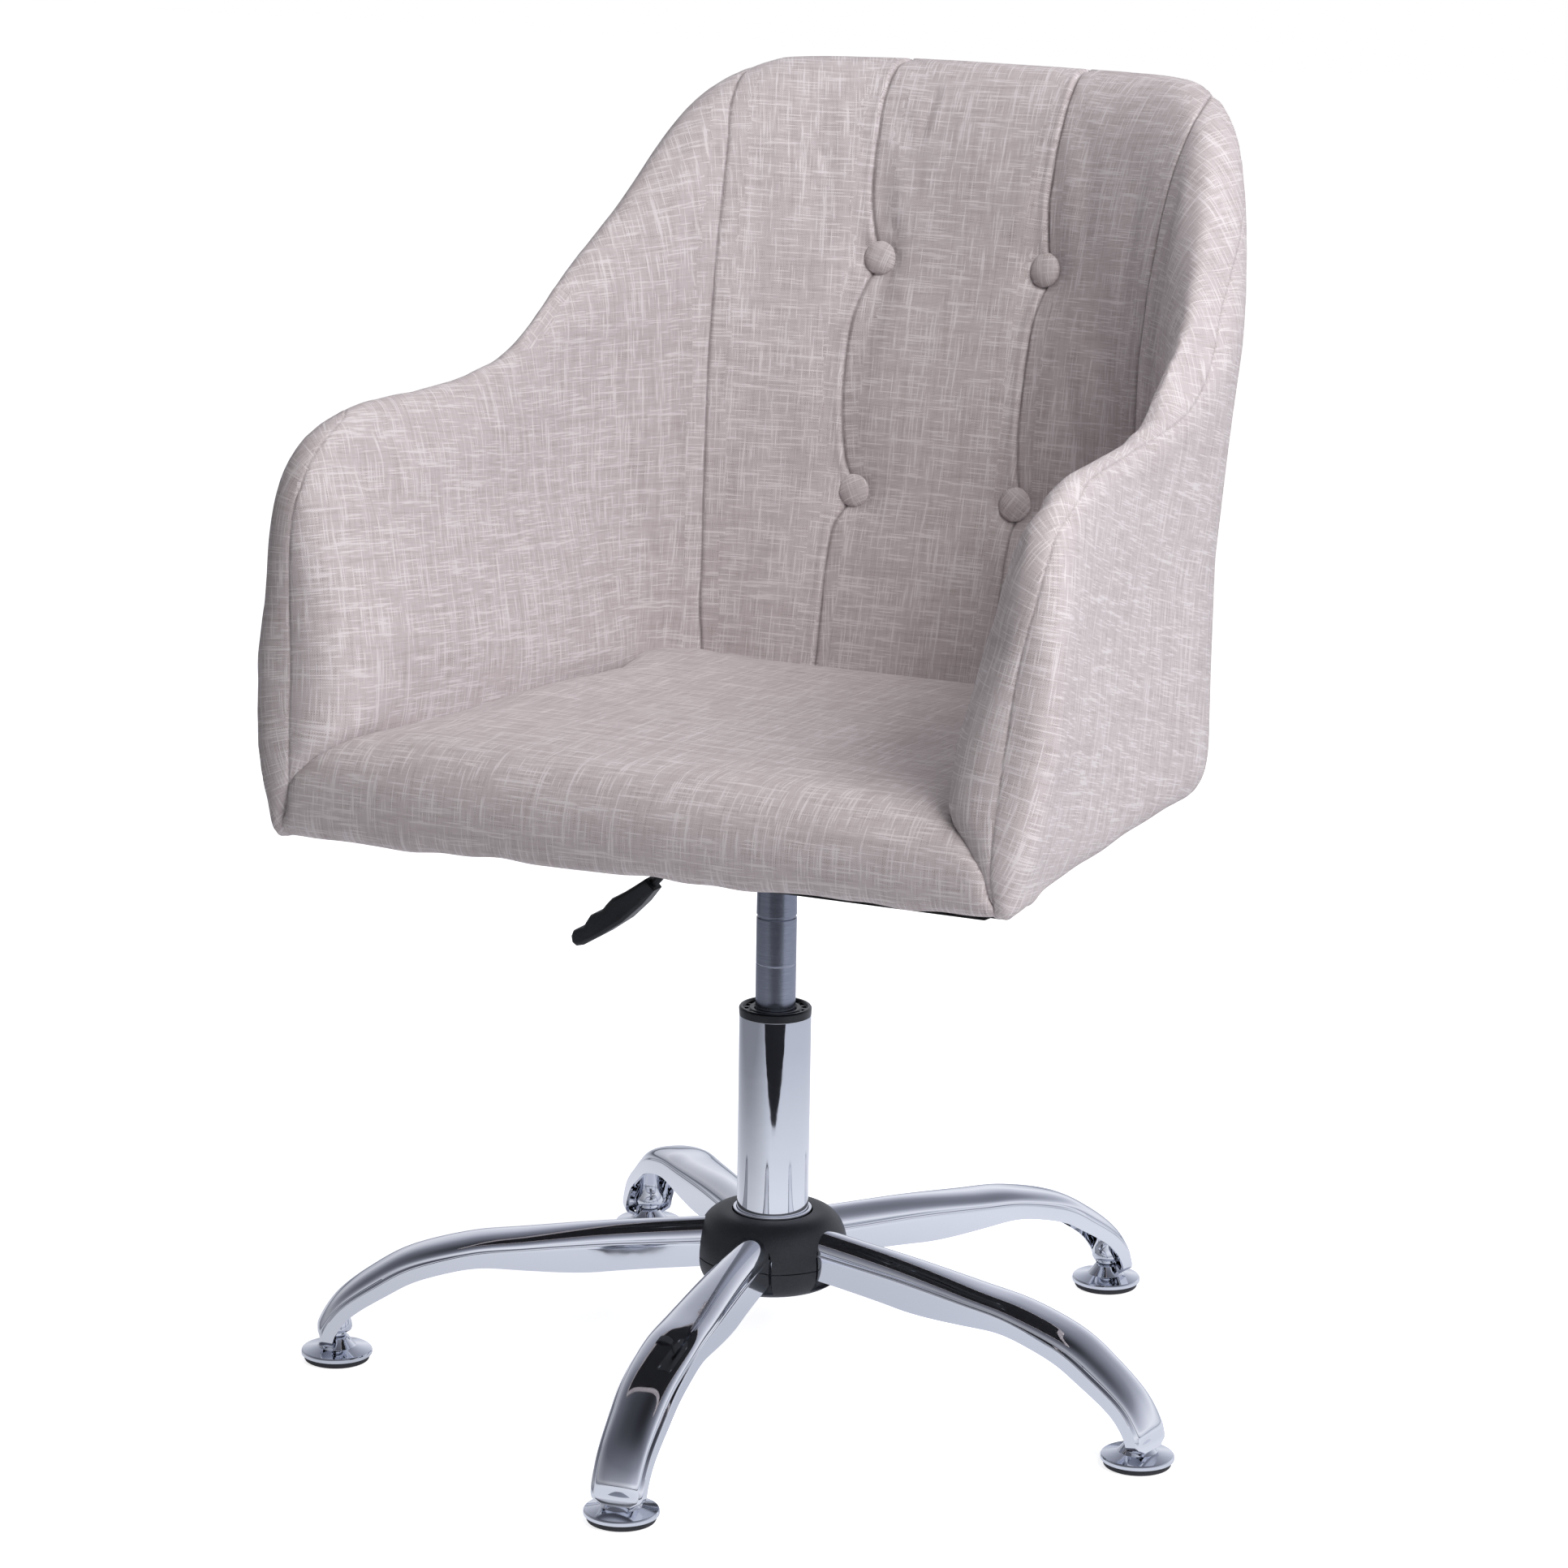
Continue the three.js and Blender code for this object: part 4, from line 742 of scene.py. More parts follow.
# %% The plan of the tub
def plan_point(which, z, path):
    """x and y of a face: path 0 is the middle of the back, 1 the start of an arm, 2 its front."""
    out, side, front, radius = faces[which](z)
    back = SEAT_BACK + LEAN * (z - SEAT_LINE) + out
    flat = side - radius
    a = np.clip((path - FLAT_SHARE) / (1 - FLAT_SHARE), 0, 1) * math.pi / 2
    share = np.maximum(path - 1, 0)
    x = np.where(path <= FLAT_SHARE, flat * path / FLAT_SHARE, flat + radius * np.sin(a))
    x = np.where(path > 1, side + (front - side) * share ** 2, x)
    y = back - radius + radius * np.cos(a)
    return x, np.where(path > 1, lerp(back - radius, ARM_FRONT, share), y)


def arm_spot(y, z):
    """The panel's spot for a point at y and z on an arm."""
    end = 0
    for which in ("spine", "outer"):
        out, _, _, radius = faces[which](z)
        end += (SEAT_BACK + LEAN * (z - SEAT_LINE) + out - radius) / 2
    return UNROLL * (1 + (end - y) / (end - ARM_FRONT)), z


print("the back's middle at the seat is at y", round(float(plan_point("inner", SEAT_LINE, 0.0)[1])))

# %% The rim and the unrolled wall
# The arm's rim by y and z, then the back's by its way round in degrees and z.
arm_rim = [(-234, 416), (-237, 440), (-232, 475), (-223, 515), (-215, 560), (-210, 605), (-203, 634),
           (-190, 656), (-171, 670), (-138, 680), (-96, 684), (-18, 684), (52, 689), (95, 701), (125, 716)]
wing_rim = [(87, 732), (80, 753), (73, 778), (67.5, 804), (62.5, 830), (56.5, 854), (49, 871),
            (41, 881), (32, 884), (16, 884), (0, 884)]
rim_points = [arm_spot(y, z) for y, z in arm_rim]
rim_points += [(UNROLL * (0.14 + 0.86 * deg / 90), z) for deg, z in wing_rim]
rim = spline(rim_points)
front_rim = spline(rim_points[:RIM_CORNER + 1])
top_rim = spline(rim_points[RIM_CORNER:][::-1])
bottom_edge = spline([(0, SKIRT), (UNROLL, SKIRT), arm_spot(-190, SKIRT), arm_spot(-225, SKIRT + 1), rim_points[0]])


def panel(u, v):
    """A spot of the unrolled wall: u from the back's middle to the arm's front, v from foot to rim."""
    u, v = u[:, None], v[:, None]
    middle = np.concatenate([0 * v, lerp(SKIRT, BACK_TOP, v)], 1)
    corners = (1 - u) * (1 - v) * np.array([0, SKIRT]) + u * (1 - v) * np.array(rim_points[0])
    corners = corners + u * v * np.array(rim_points[RIM_CORNER]) + (1 - u) * v * np.array([0, BACK_TOP])
    return ((1 - v) * bottom_edge(u[:, 0]) + v * top_rim(u[:, 0]) + (1 - u) * middle
            + u * front_rim(v[:, 0]) - corners)


def wall(spots, side):
    """Points of the inner face, the middle and the outer face at spots of the panel."""
    path = np.minimum(spots[:, 0] / UNROLL, 2.2)
    z = spots[:, 1]
    found = {}
    for which in faces:
        x, y = plan_point(which, z, path)
        found[which] = np.stack([side * x, y, z], 1)
    return found["inner"], (found["spine"] + found["outer"]) / 2, found["outer"]


print("the rim is", round(rim.length), "mm long from the arm's foot to the back's middle")

# %% Rounding towards the rim and the foot
INSIDE = {"edge": 28.0, "tuck": 30.0, "tuck_height": 38.0}       # mm the padding draws in
OUTSIDE = {"edge": 20.0, "tuck": 15.0, "tuck_height": 24.0}
rim_line = wall(rim(np.linspace(0, 1, 1600)), 1.0)[1]
rim_tree = KDTree(len(rim_line))
for number, point in enumerate(rim_line):
    rim_tree.insert(point, number)
rim_tree.balance()


def roundness(distance, radius):
    """A quarter circle: 0 at no distance, 1 from the radius on."""
    return np.sqrt(1 - (1 - np.clip(distance / radius, 0, 1)) ** 2)


def padded_face(spots, side, outside):
    """The padding's surface on one side of the wall."""
    inner, middle, outer = wall(spots, side)
    target, size = (outer, OUTSIDE) if outside else (inner, INSIDE)
    half = np.linalg.norm(target - middle, axis=1)
    to_rim = np.array([rim_tree.find((abs(p[0]), p[1], p[2]))[2] for p in middle])
    # Inside, the back's rim is rounder than the arms'.
    reach = size["edge"] if outside else lerp(size["edge"], 55.0, smoothstep(spots[:, 1], 585, 685))
    draw_in = np.minimum(size["edge"], half * 0.95) * (1 - roundness(to_rim, reach))
    tuck = np.minimum(size["tuck"], half * 0.95) * (1 - roundness(spots[:, 1] - SKIRT, size["tuck_height"]))
    # In front, beside the cushion, the foot stays full.
    tuck *= 1 - 0.97 * smoothstep(spots[:, 0] / UNROLL, 1.72, 1.9)
    share = np.maximum(1 - (draw_in + tuck) / half, 0.03)
    return middle + (target - middle) * share[:, None]


def padding_shell(across=130, up=110):
    """Both faces as grids, joined all round their edges."""
    bm = bmesh.new()
    rims = []
    for outside in (False, True):
        made = bmesh.ops.create_grid(bm, x_segments=2 * across, y_segments=up, size=1)["verts"]
        co = np.array([v.co for v in made])
        u = 1 - (1 - np.abs(co[:, 0])) ** 1.8
        v = (1 - np.cos(math.pi * (co[:, 1] + 1) / 2)) / 2
        side = np.where(co[:, 0] < 0, -1.0, 1.0)
        points = padded_face(panel(u, v), side, outside)
        for vert, point in zip(made, points):
            vert.co = point
        own = set(made)
        rims += [e for e in bm.edges if e.is_boundary and e.verts[0] in own]
    bmesh.ops.bridge_loops(bm, edges=rims)
    bmesh.ops.recalc_face_normals(bm, faces=bm.faces)
    return bm


shell = padding_shell()
print("padding drawn with", len(shell.faces), "faces")

# %% [markdown]
# ## From a drawing to cloth
#
# The drawn shell is rebuilt as even small quads, because cloth needs even cells, and laid back on
# the drawing. Then it is simulated as cloth: its seams, buttons and foot are held, and a little
# pressure lets the panels between them swell as foam does under a tight cover.

# %% Even cells
def relaxed(bm, verts, factor, rounds=1):
    """Evens out some vertices, each towards the middle of its neighbours."""
    for _ in range(rounds):
        bmesh.ops.smooth_vert(bm, verts=verts, factor=factor, use_axis_x=True, use_axis_y=True, use_axis_z=True)


def with_modifiers(helper):
    """The bmesh of a helper object with its modifiers applied; the helper goes."""
    graph = bpy.context.evaluated_depsgraph_get()
    mesh = bpy.data.meshes.new_from_object(helper.evaluated_get(graph))
    bpy.data.objects.remove(helper)
    made = bmesh.new()
    made.from_mesh(mesh)
    return made


def evened(bm, size):
    """Rebuilds a closed bmesh with even quads of that size in millimetres, on the same surface."""
    drawn = BVHTree.FromBMesh(bm)
    helper = linked("even", bm)
    remesh = helper.modifiers.new("voxels", "REMESH")
    remesh.mode, remesh.voxel_size = "VOXEL", size
    made = with_modifiers(helper)
    relaxed(made, made.verts, 0.5, rounds=4)
    for vert in made.verts:
        vert.co = drawn.find_nearest(vert.co)[0]
    relaxed(made, made.verts, 0.3, rounds=2)
    bmesh.ops.recalc_face_normals(made, faces=made.faces)
    return made


CELL = 7.0
tub = evened(shell, CELL)
print("tub:", len(tub.faces), "cells of", CELL, "mm")

# %% [markdown]
# ### Where the seams run
#
# Points on the cloth, in millimetres round the axis: two tufting seams that bend through the
# buttons, a seam on each side of the back, the long seam along the edge of both arms and over the
# back, and the short ones at the front corners of the seat. Folds are listed with them.

# %% Seams
edge_right = [
    (255, -228, 408), (255, -235, 425), (255, -236, 446), (256, -230, 484), (257, -222, 519), (260, -215, 559),
    (264, -212, 585), (270, -208, 612), (274, -197, 640), (275, -184, 655), (274, -150, 668), (268, -115, 676),
    (264, -70, 678), (261, -23, 680), (258, 30, 682), (258, 77, 686), (257, 112, 697), (255, 140, 718),
    (249, 170, 745), (243, 204, 768), (236, 238, 790), (226, 272, 816), (212, 302, 842), (192, 329, 864),
    (160, 352, 878), (110, 368, 883), (50, 376, 884), (0, 377, 884),
]
edge_left = [(-255, -222, 408), (-252, -229, 427), (-250, -235, 450), (-252, -230, 480), (-256, -222, 522),
             (-260, -216, 555), (-262, -212, 588), (-262, -207, 620), (-259, -200, 640), (-257, -184, 658),
             (-258, -150, 672)]
edge_left += [(-x, y, z) for x, y, z in edge_right[11:]]
tuft_left = [
    (-74, 374, 884), (-77, 348, 877), (-77, 327, 853), (-76, 311, 811), (-74, 304, 786), (-70, 300, 765),
    (-66, 298, 744), (-71, 290, 728), (-76, 285, 712), (-79, 280, 695), (-80, 273, 665), (-79, 267, 634),
    (-75, 262, 605), (-67, 258, 580), (-73, 253, 566), (-78, 249, 552), (-79, 243, 530), (-78, 234, 500),
    (-77, 222, 458), (-77, 214, 430), (-77, 228, 406),
]
tuft_right = [
    (66, 375, 884), (65, 350, 877), (63, 330, 855), (61, 318, 818), (60, 310, 794), (62, 302, 768),
    (64, 298, 744), (61, 291, 724), (58, 286, 706), (57, 280, 683), (57, 272, 645), (59, 266, 615),
    (63, 259, 583), (61, 252, 563), (60, 248, 545), (60, 238, 512), (60, 224, 460), (60, 214, 430),
    (60, 228, 406),
]
side_left = [
    (-178, 341, 879), (-178, 305, 872), (-175, 277, 856), (-170, 262, 826), (-167, 249, 789), (-166, 236, 739),
    (-166, 227, 677), (-166, 222, 603), (-168, 222, 527), (-169, 221, 489), (-167, 217, 457), (-166, 212, 430),
    (-168, 222, 406),
]
side_right = [
    (182, 340, 878), (182, 303, 871), (180, 274, 856), (174, 257, 830), (170, 248, 800), (167, 240, 764),
    (164, 234, 720), (162, 232, 680), (163, 227, 640), (165, 224, 603), (167, 222, 540), (168, 221, 489),
    (167, 217, 457), (166, 212, 430), (168, 222, 406),
]
corner_left = [(-219, -186, 470), (-226, -207, 460), (-233, -218, 452), (-242, -224, 439), (-252, -228, 424)]
corner_right = [(222, -192, 474), (229, -212, 462), (238, -222, 447), (247, -226, 434), (255, -231, 418)]


def foot_line(reach, steps):
    """The wall's inner face, middle and outer face at the foot, all the way round."""
    paths = np.concatenate([-np.linspace(reach, 0.02, steps), np.linspace(0.02, reach, steps)])
    return wall(np.stack([np.abs(paths) * UNROLL, np.full(2 * steps, SKIRT)], 1), np.sign(paths))


foot = [tuple(p) for p in foot_line(2.0, 40)[1]]
long_seam = edge_right + edge_left[::-1][1:]
# name: points, depth of the groove in mm, its half width, width of the soft valley
seams = {
    "edge": (long_seam, 0.6, 1.0, 4), "tuft_left": (tuft_left, 1.9, 1.4, 18), "tuft_right": (tuft_right, 1.9, 1.4, 18),
    "side_left": (side_left, 1.6, 1.2, 9), "side_right": (side_right, 1.6, 1.2, 10),
    "corner_left": (corner_left, 1.5, 1.6, 7), "corner_right": (corner_right, 1.5, 1.6, 7),
}
print("seams:", ", ".join(seams))

# %% Folds and buttons
# Folds: points, height in mm, half width in mm
folds = [
    ([(-39, 342, 869), (-41, 333, 855), (-43, 327, 840), (-45, 322, 824)], -1.6, 3.0),
    ([(-33, 343, 869), (-35, 333, 853), (-38, 326, 836)], 1.0, 4.0),
    ([(-121, 299, 836), (-116, 299, 824), (-110, 300, 812), (-102, 299, 798)], -1.1, 3.5),
    ([(-134, 291, 836), (-126, 292, 820), (-119, 291, 806), (-114, 291, 793)], -0.9, 3.5),
    ([(-108, 330, 868), (-106, 318, 850), (-102, 310, 832), (-96, 305, 812)], 0.9, 5.0),
    ([(-143, 285, 840), (-137, 280, 815), (-133, 276, 790)], 0.8, 5.0),
    ([(-65, 303, 775), (-59, 303, 768), (-50, 303, 759)], -1.0, 3.0),
    ([(-88, 305, 800), (-82, 301, 780), (-75, 297, 760)], 0.8, 4.0),
    ([(-92, 262, 640), (-96, 268, 672), (-93, 274, 705)], -0.9, 6.0),
    ([(-106, 258, 620), (-110, 264, 655), (-107, 270, 690)], 0.7, 7.0),
    ([(72, 262, 640), (75, 268, 672), (73, 274, 705)], -0.8, 6.0),
    ([(-52, 296, 735), (-44, 294, 722), (-38, 292, 708)], 0.7, 4.0),
    ([(244, 112, 721), (242, 90, 713), (240, 68, 706), (240, 50, 699), (242, 31, 693)], -1.5, 4.5),
    ([(240, 120, 716), (236, 96, 704), (233, 74, 694), (233, 50, 686)], 1.3, 6.0),
    ([(-216, 157, 703), (-212, 165, 677), (-210, 168, 640), (-205, 176, 591), (-199, 185, 552), (-192, 199, 510),
      (-190, 204, 470)], -1.6, 5.0),
    ([(216, 157, 703), (212, 165, 677), (210, 168, 640), (205, 176, 591), (199, 185, 552), (192, 199, 510),
      (190, 204, 470)], -1.4, 5.0),
    ([(-56, 259, 570), (-46, 259, 561), (-34, 257, 552)], -0.7, 4.0),
    ([(-92, 252, 590), (-102, 250, 600), (-114, 247, 611)], -0.6, 4.0),
    ([(52, 298, 752), (38, 302, 762), (22, 305, 770)], -0.6, 5.0),
    ([(75, 297, 752), (88, 293, 765), (100, 289, 778)], -0.7, 5.0),
]
BUTTONS = {"upper_left": (-66, 744), "upper_right": (64, 744), "lower_left": (-66, 578), "lower_right": (61, 579)}
print("folds:", len(folds), "buttons:", len(BUTTONS))


# %% Lines laid on the cloth
class Lines:
    """Lines laid on a surface, sampled each millimetre, that can be asked what is near a point."""

    def __init__(self, surface, named):
        self.points, self.ways, self.owner, self.run, self.total = [], [], [], [], []
        self.names = list(named)
        for number, name in enumerate(self.names):
            laid = [surface.find_nearest(Vector(p))[0] for p in named[name]]
            line = spline([tuple(p) for p in laid], 600)
            count = max(int(line.length), 4)
            even = line(np.linspace(0, 1, count))
            even = np.array([surface.find_nearest(Vector(p))[0] for p in even])
            way = np.gradient(even, axis=0)
            way /= np.linalg.norm(way, axis=1, keepdims=True) + 1e-9
            self.points += list(even)
            self.ways += list(way)
            self.owner += [number] * count
            self.run += list(np.arange(count) * line.length / count)
            self.total += [line.length] * count
        self.points, self.ways = np.array(self.points), np.array(self.ways)
        self.owner, self.run, self.total = (np.array(v) for v in (self.owner, self.run, self.total))
        self.tree = KDTree(len(self.points))
        for number, point in enumerate(self.points):
            self.tree.insert(point, number)
        self.tree.balance()

    def near(self, co):
        """Nearest sample, distance to the line and the step from it, for each point."""
        found = np.array([self.tree.find(p)[1] for p in co])
        step = co - self.points[found]
        along = np.einsum("ij,ij->i", step, self.ways[found])
        inside = np.abs(along) < 1.2
        across = step - self.ways[found] * (along * inside)[:, None]
        return found, np.linalg.norm(across, axis=1), step


surface = BVHTree.FromBMesh(tub)
sewn = Lines(surface, {name: row[0] for name, row in seams.items()})
print(len(sewn.names), "seams, with", round(len(sewn.points) / 1000, 1), "m of sewing")

# %% [markdown]
# ### Simulated padding
#
# The cloth gets a pinned group: 1 where it is sewn or nailed, 0 where it is free. Gravity is off,
# because foam holds the cover up. The result is capped, so that the tub keeps its size, and
# applied to the mesh. The outside of the tub is stretched over board, so it is held throughout.

# %% Cloth helper
def swollen(bm, held, pressure, cap, frames=20, stiffness=18.0):
    """Simulates a closed bmesh in millimetres as cloth under pressure and caps how far it moves."""
    before = np.array([v.co for v in bm.verts])
    cloth_piece = linked("swelling", bm.copy())
    cloth_piece.data.transform(Matrix.Scale(MM, 4))
    group = cloth_piece.vertex_groups.new(name="held")
    for number, weight in enumerate(held):
        if weight > 0.01:
            group.add([number], float(weight), "REPLACE")
    cloth = cloth_piece.modifiers.new("cloth", "CLOTH")
    settings = cloth.settings
    settings.quality, settings.mass = 6, 0.3
    settings.tension_stiffness = settings.compression_stiffness = stiffness
    settings.bending_stiffness = 2.0
    settings.use_pressure, settings.uniform_pressure_force = True, pressure
    settings.vertex_group_mass = "held"
    settings.effector_weights.gravity = 0
    cloth.collision_settings.use_collision = False
    cloth.point_cache.frame_start, cloth.point_cache.frame_end = 1, frames
    scene = bpy.context.scene
    for number in range(1, frames + 1):
        scene.frame_set(number)
    graph = bpy.context.evaluated_depsgraph_get()
    result = cloth_piece.evaluated_get(graph).to_mesh()
    co = np.zeros(len(result.vertices) * 3)
    result.vertices.foreach_get("co", co)
    move = co.reshape(-1, 3) / MM - before
    cloth_piece.evaluated_get(graph).to_mesh_clear()
    scene.frame_set(1)
    bpy.data.objects.remove(cloth_piece)
    length = np.linalg.norm(move, axis=1)
    print("  moved", round(float(np.median(length)), 1), "mm in the middle,", round(float(length.max()), 1), "at most")
    move *= (np.minimum(length, cap) / np.maximum(length, 1e-6))[:, None]
    for vert, point in zip(bm.verts, before + move):
        vert.co = point
    relaxed(bm, bm.verts, 0.3, rounds=2)


# %% What is held
def button_spots(surface):
    """Where each button sits on the back, with the cloth's direction there."""
    found = {}
    for name, (x, z) in BUTTONS.items():
        hit, normal, _, _ = surface.ray_cast(Vector((x, 0, z)), Vector((0, 1, 0)))
        found[name] = (hit, normal)
    return found


NAILED_BELOW = 446    # mm, the height below which the cloth is stretched to its staples
buttons = button_spots(surface)
tub.normal_update()
start = np.array([v.co for v in tub.verts])
normals = np.array([v.normal for v in tub.verts])
_, gap, _ = sewn.near(start)
# How far each point faces away from the sitter: 1 is outwards, -1 is inwards.
outward = np.stack([start[:, 0], np.maximum(start[:, 1] - 60, 0)], 1)
outside = (outward * normals[:, :2]).sum(1) / (np.linalg.norm(outward, axis=1) + 1e-9)
held = np.clip(1.6 - gap / 5, 0, 1)
held = np.maximum(held, smoothstep(outside, 0.2, 0.6) * 0.9)
for hit, _ in buttons.values():
    held = np.maximum(held, np.clip(2.2 - np.linalg.norm(start - np.array(hit), axis=1) / 7, 0, 1))
held = np.maximum(held, np.clip((NAILED_BELOW - start[:, 2]) / 8, 0, 1))
print("held:", round(100 * float((held > 0.5).mean())), "percent of the cover")

# %% The tub swells between its seams
swollen(tub, held, pressure=4.0, cap=4.5)
print("the cover stands at most at z", round(max(v.co.z for v in tub.verts)))

# %% [markdown]
# ### Laying the weave
#
# The cloth is cut along its seams and unwrapped, just as the cover was cut from flat cloth. First
# the cells' corners beside a seam are slid onto it, so the cut follows the seam. Each panel is
# then turned so that its warp runs up the chair, and scaled so that one unit of the map is one
# millimetre of cloth. All of this comes before the finer cells, which inherit the map.

# %% Panels of cloth
def panels_of(bm):
    """A number for each cell's panel of cloth: 0 outside, then 1 to 5 from the left arm to the right."""
    border = Lines(BVHTree.FromBMesh(bm), {"border": long_seam + foot})
    bm.normal_update()
    centres = np.array([f.calc_center_median() for f in bm.faces])
    facing = np.array([f.normal for f in bm.faces])
    found, _, step = border.near(centres)
    inside = np.einsum("ij,ij->i", np.cross(border.ways[found], facing), step) < 0
    number = np.ones(len(centres), int)
    surface = BVHTree.FromBMesh(bm)
    for name in ("side_left", "tuft_left", "tuft_right", "side_right"):
        line = np.array(seams[name][0][::-1], float)
        right_of = centres[:, 0] > np.interp(centres[:, 2], line[:, 2], line[:, 0])
        own = Lines(surface, {name: seams[name][0]})
        found, gap, step = own.near(centres)
        # These seams run down, seen from the front, so the cross product points to the right of them.
        beside = np.einsum("ij,ij->i", np.cross(own.ways[found], facing), step) > 0
        number += np.where(gap < 14, beside, right_of)
    return np.where(inside, number, 0)


def weave_map(bm, panel_of):
    """Cuts a bmesh between its panels and unwraps it into millimetres, with the warp up the chair."""
    bm.faces.ensure_lookup_table()
    bm.edges.index_update()
    for edge in bm.edges:
        edge.seam = len({panel_of[f.index] for f in edge.link_faces}) > 1
    piece = linked("cut", bm)
    mesh = piece.data
    mesh.uv_layers.new(name="weave")
    bpy.context.view_layer.objects.active = piece
    piece.select_set(True)
    bpy.ops.object.mode_set(mode="EDIT")
    bpy.ops.mesh.select_all(action="SELECT")
    bpy.ops.uv.unwrap(method="ANGLE_BASED", margin=0.001)
    bpy.ops.object.mode_set(mode="OBJECT")
    bm = bmesh.new()
    bm.from_mesh(mesh)
    bpy.data.objects.remove(piece)
    layer = bm.loops.layers.uv["weave"]
    triangles = bm.calc_loop_triangles()
    p = np.array([[l.vert.co for l in t] for t in triangles])
    q = np.array([[l[layer].uv for l in t] for t in triangles])
    own = np.array([panel_of[t[0].face.index] for t in triangles])
    e1, e2 = p[:, 1] - p[:, 0], p[:, 2] - p[:, 0]
    f1, f2 = q[:, 1] - q[:, 0], q[:, 2] - q[:, 0]
    area = np.linalg.norm(np.cross(e1, e2), axis=1)
    flat = f1[:, 0] * f2[:, 1] - f1[:, 1] * f2[:, 0]
    safe = np.where(np.abs(flat) > 1e-12, flat, 1e-12)
    # The slope of height over the map points up the chair.
    climb = np.stack([(e1[:, 2] * f2[:, 1] - e2[:, 2] * f1[:, 1]) / safe,
                      (e2[:, 2] * f1[:, 0] - e1[:, 2] * f2[:, 0]) / safe], 1)
    climb *= (area / (np.linalg.norm(climb, axis=1) + 1e-9))[:, None]
    change = {}
    for k in set(own):
        way = climb[own == k].sum(0)
        turn = math.pi / 2 - math.atan2(way[1], way[0])
        scale = math.sqrt(area[own == k].sum() / max(np.abs(flat[own == k]).sum(), 1e-12))
        change[k] = scale * math.cos(turn), scale * math.sin(turn)
        print("  panel", k, "scale", round(scale), "turned", round(math.degrees(turn)))
    for face in bm.faces:
        k = panel_of[face.index]
        c, d = change[k]
        for loop in face.loops:
            u, v = loop[layer].uv
            loop[layer].uv = (c * u - d * v + 211.0 * k, d * u + c * v + 137.0 * k)
    return bm


for vert, number, away in zip(tub.verts, *sewn.near(np.array([v.co for v in tub.verts]))[:2]):
    if away < 0.4 * CELL and sewn.names[sewn.owner[number]][:6] != "corner":
        vert.co = sewn.points[number]
tub = weave_map(tub, panels_of(tub))
print("the cover's map:", len(tub.faces), "cells")

# %% [markdown]
# ### Sewing it
#
# Seams narrower than a cell come now. The cloth is subdivided once all over, and again only along
# the seams and folds. Then every point is pressed in or raised: a narrow groove in a soft valley
# along each seam, a well and a wide dimple at each button, and the folds.

# %% Finer cells
def finer(bm, near, distances):
    """Subdivides the cells that lie within each of the distances of the lines."""
    for distance in distances:
        co = np.array([v.co for v in bm.verts])
        close = np.min([lines.near(co)[1] for lines in near], axis=0) < distance
        bm.verts.ensure_lookup_table()
        edges = [e for e in bm.edges if close[e.verts[0].index] and close[e.verts[1].index]]
        made = bmesh.ops.subdivide_edges(bm, edges=edges, cuts=1, use_grid_fill=True)
        relaxed(bm, [g for g in made["geom_inner"] if isinstance(g, bmesh.types.BMVert)], 0.5)
        bm.verts.index_update()
    return bm


def subdivided(bm):
    """One round of smooth subdivision."""
    helper = linked("finer", bm)
    helper.modifiers.new("finer", "SUBSURF").levels = 1
    return with_modifiers(helper)


tub = subdivided(tub)
surface = BVHTree.FromBMesh(tub)
sewn = Lines(surface, {name: row[0] for name, row in seams.items()})
folded = Lines(surface, {f"fold_{i}": row[0] for i, row in enumerate(folds)})
buttons = button_spots(surface)
tub = finer(tub, [sewn], [9.0, 4.2])
print("tub:", len(tub.faces), "cells after subdivision")

# %% Grooves along the seams
tub.normal_update()
co = np.array([v.co for v in tub.verts])
normals = np.array([v.normal for v in tub.verts])
found, gap, step = sewn.near(co)
owner, along = sewn.owner[found], sewn.run[found]
depth, narrow, broad = np.array([seams[name][1:] for name in sewn.names])[owner].T
# A sewn line puckers a little, so its depth is never even.
pucker = 1 + 0.22 * np.sin(along / 6.3 + 1.7 * owner) + 0.18 * np.sin(along / 17.0)
press = -0.8 * depth * pucker * np.exp(-(gap / narrow) ** 2) - 1.1 * depth * np.exp(-gap / broad)
# One panel laps over the other, which leaves a low ridge on its side of the tufting seams.
lapped = np.einsum("ij,ij->i", np.cross(sewn.ways[found], normals), step) > 0
tufting = np.isin(owner, [sewn.names.index(n) for n in ("tuft_left", "tuft_right")])
press += 0.9 * (lapped & tufting) * np.exp(-((gap - 3.6) / 1.8) ** 2)
print("the seams press in at most", round(-float(press.min()), 1), "mm")

# %% Wells at the buttons, and folds
for hit, _ in buttons.values():
    away = np.linalg.norm(co - np.array(hit), axis=1)
    # The shell's own seat, the well round it, and the wide dimple of the pulled cloth.
    press -= 3.4 * np.exp(-(away / 14) ** 4) + 3.4 * np.exp(-(away / 27) ** 2) + 2.0 * np.exp(-(away / 62) ** 2)
near_fold, fold_gap, _ = folded.near(co)
height, width = np.array([row[1:] for row in folds])[folded.owner[near_fold]].T
share = np.clip(folded.run[near_fold] / folded.total[near_fold], 0, 1)
press += height * np.clip(np.sin(share * math.pi), 0, 1) ** 0.6 * np.exp(-(fold_gap / width) ** 2)
print("at the buttons they press in", round(-float(press.min()), 1), "mm")

# %% The finished cover
# The cover lies over foam and board, so it is never quite even.
uneven = (np.sin(co[:, 0] / 41 + 1.3 * np.sin(co[:, 2] / 57)) * np.sin(co[:, 2] / 47 + co[:, 1] / 39 + 0.6)
          + 0.6 * np.sin(co[:, 1] / 27 + co[:, 2] / 33) * np.sin(co[:, 0] / 29 + 2.1))
shaped = co + normals * (press + 0.35 * uneven)[:, None]
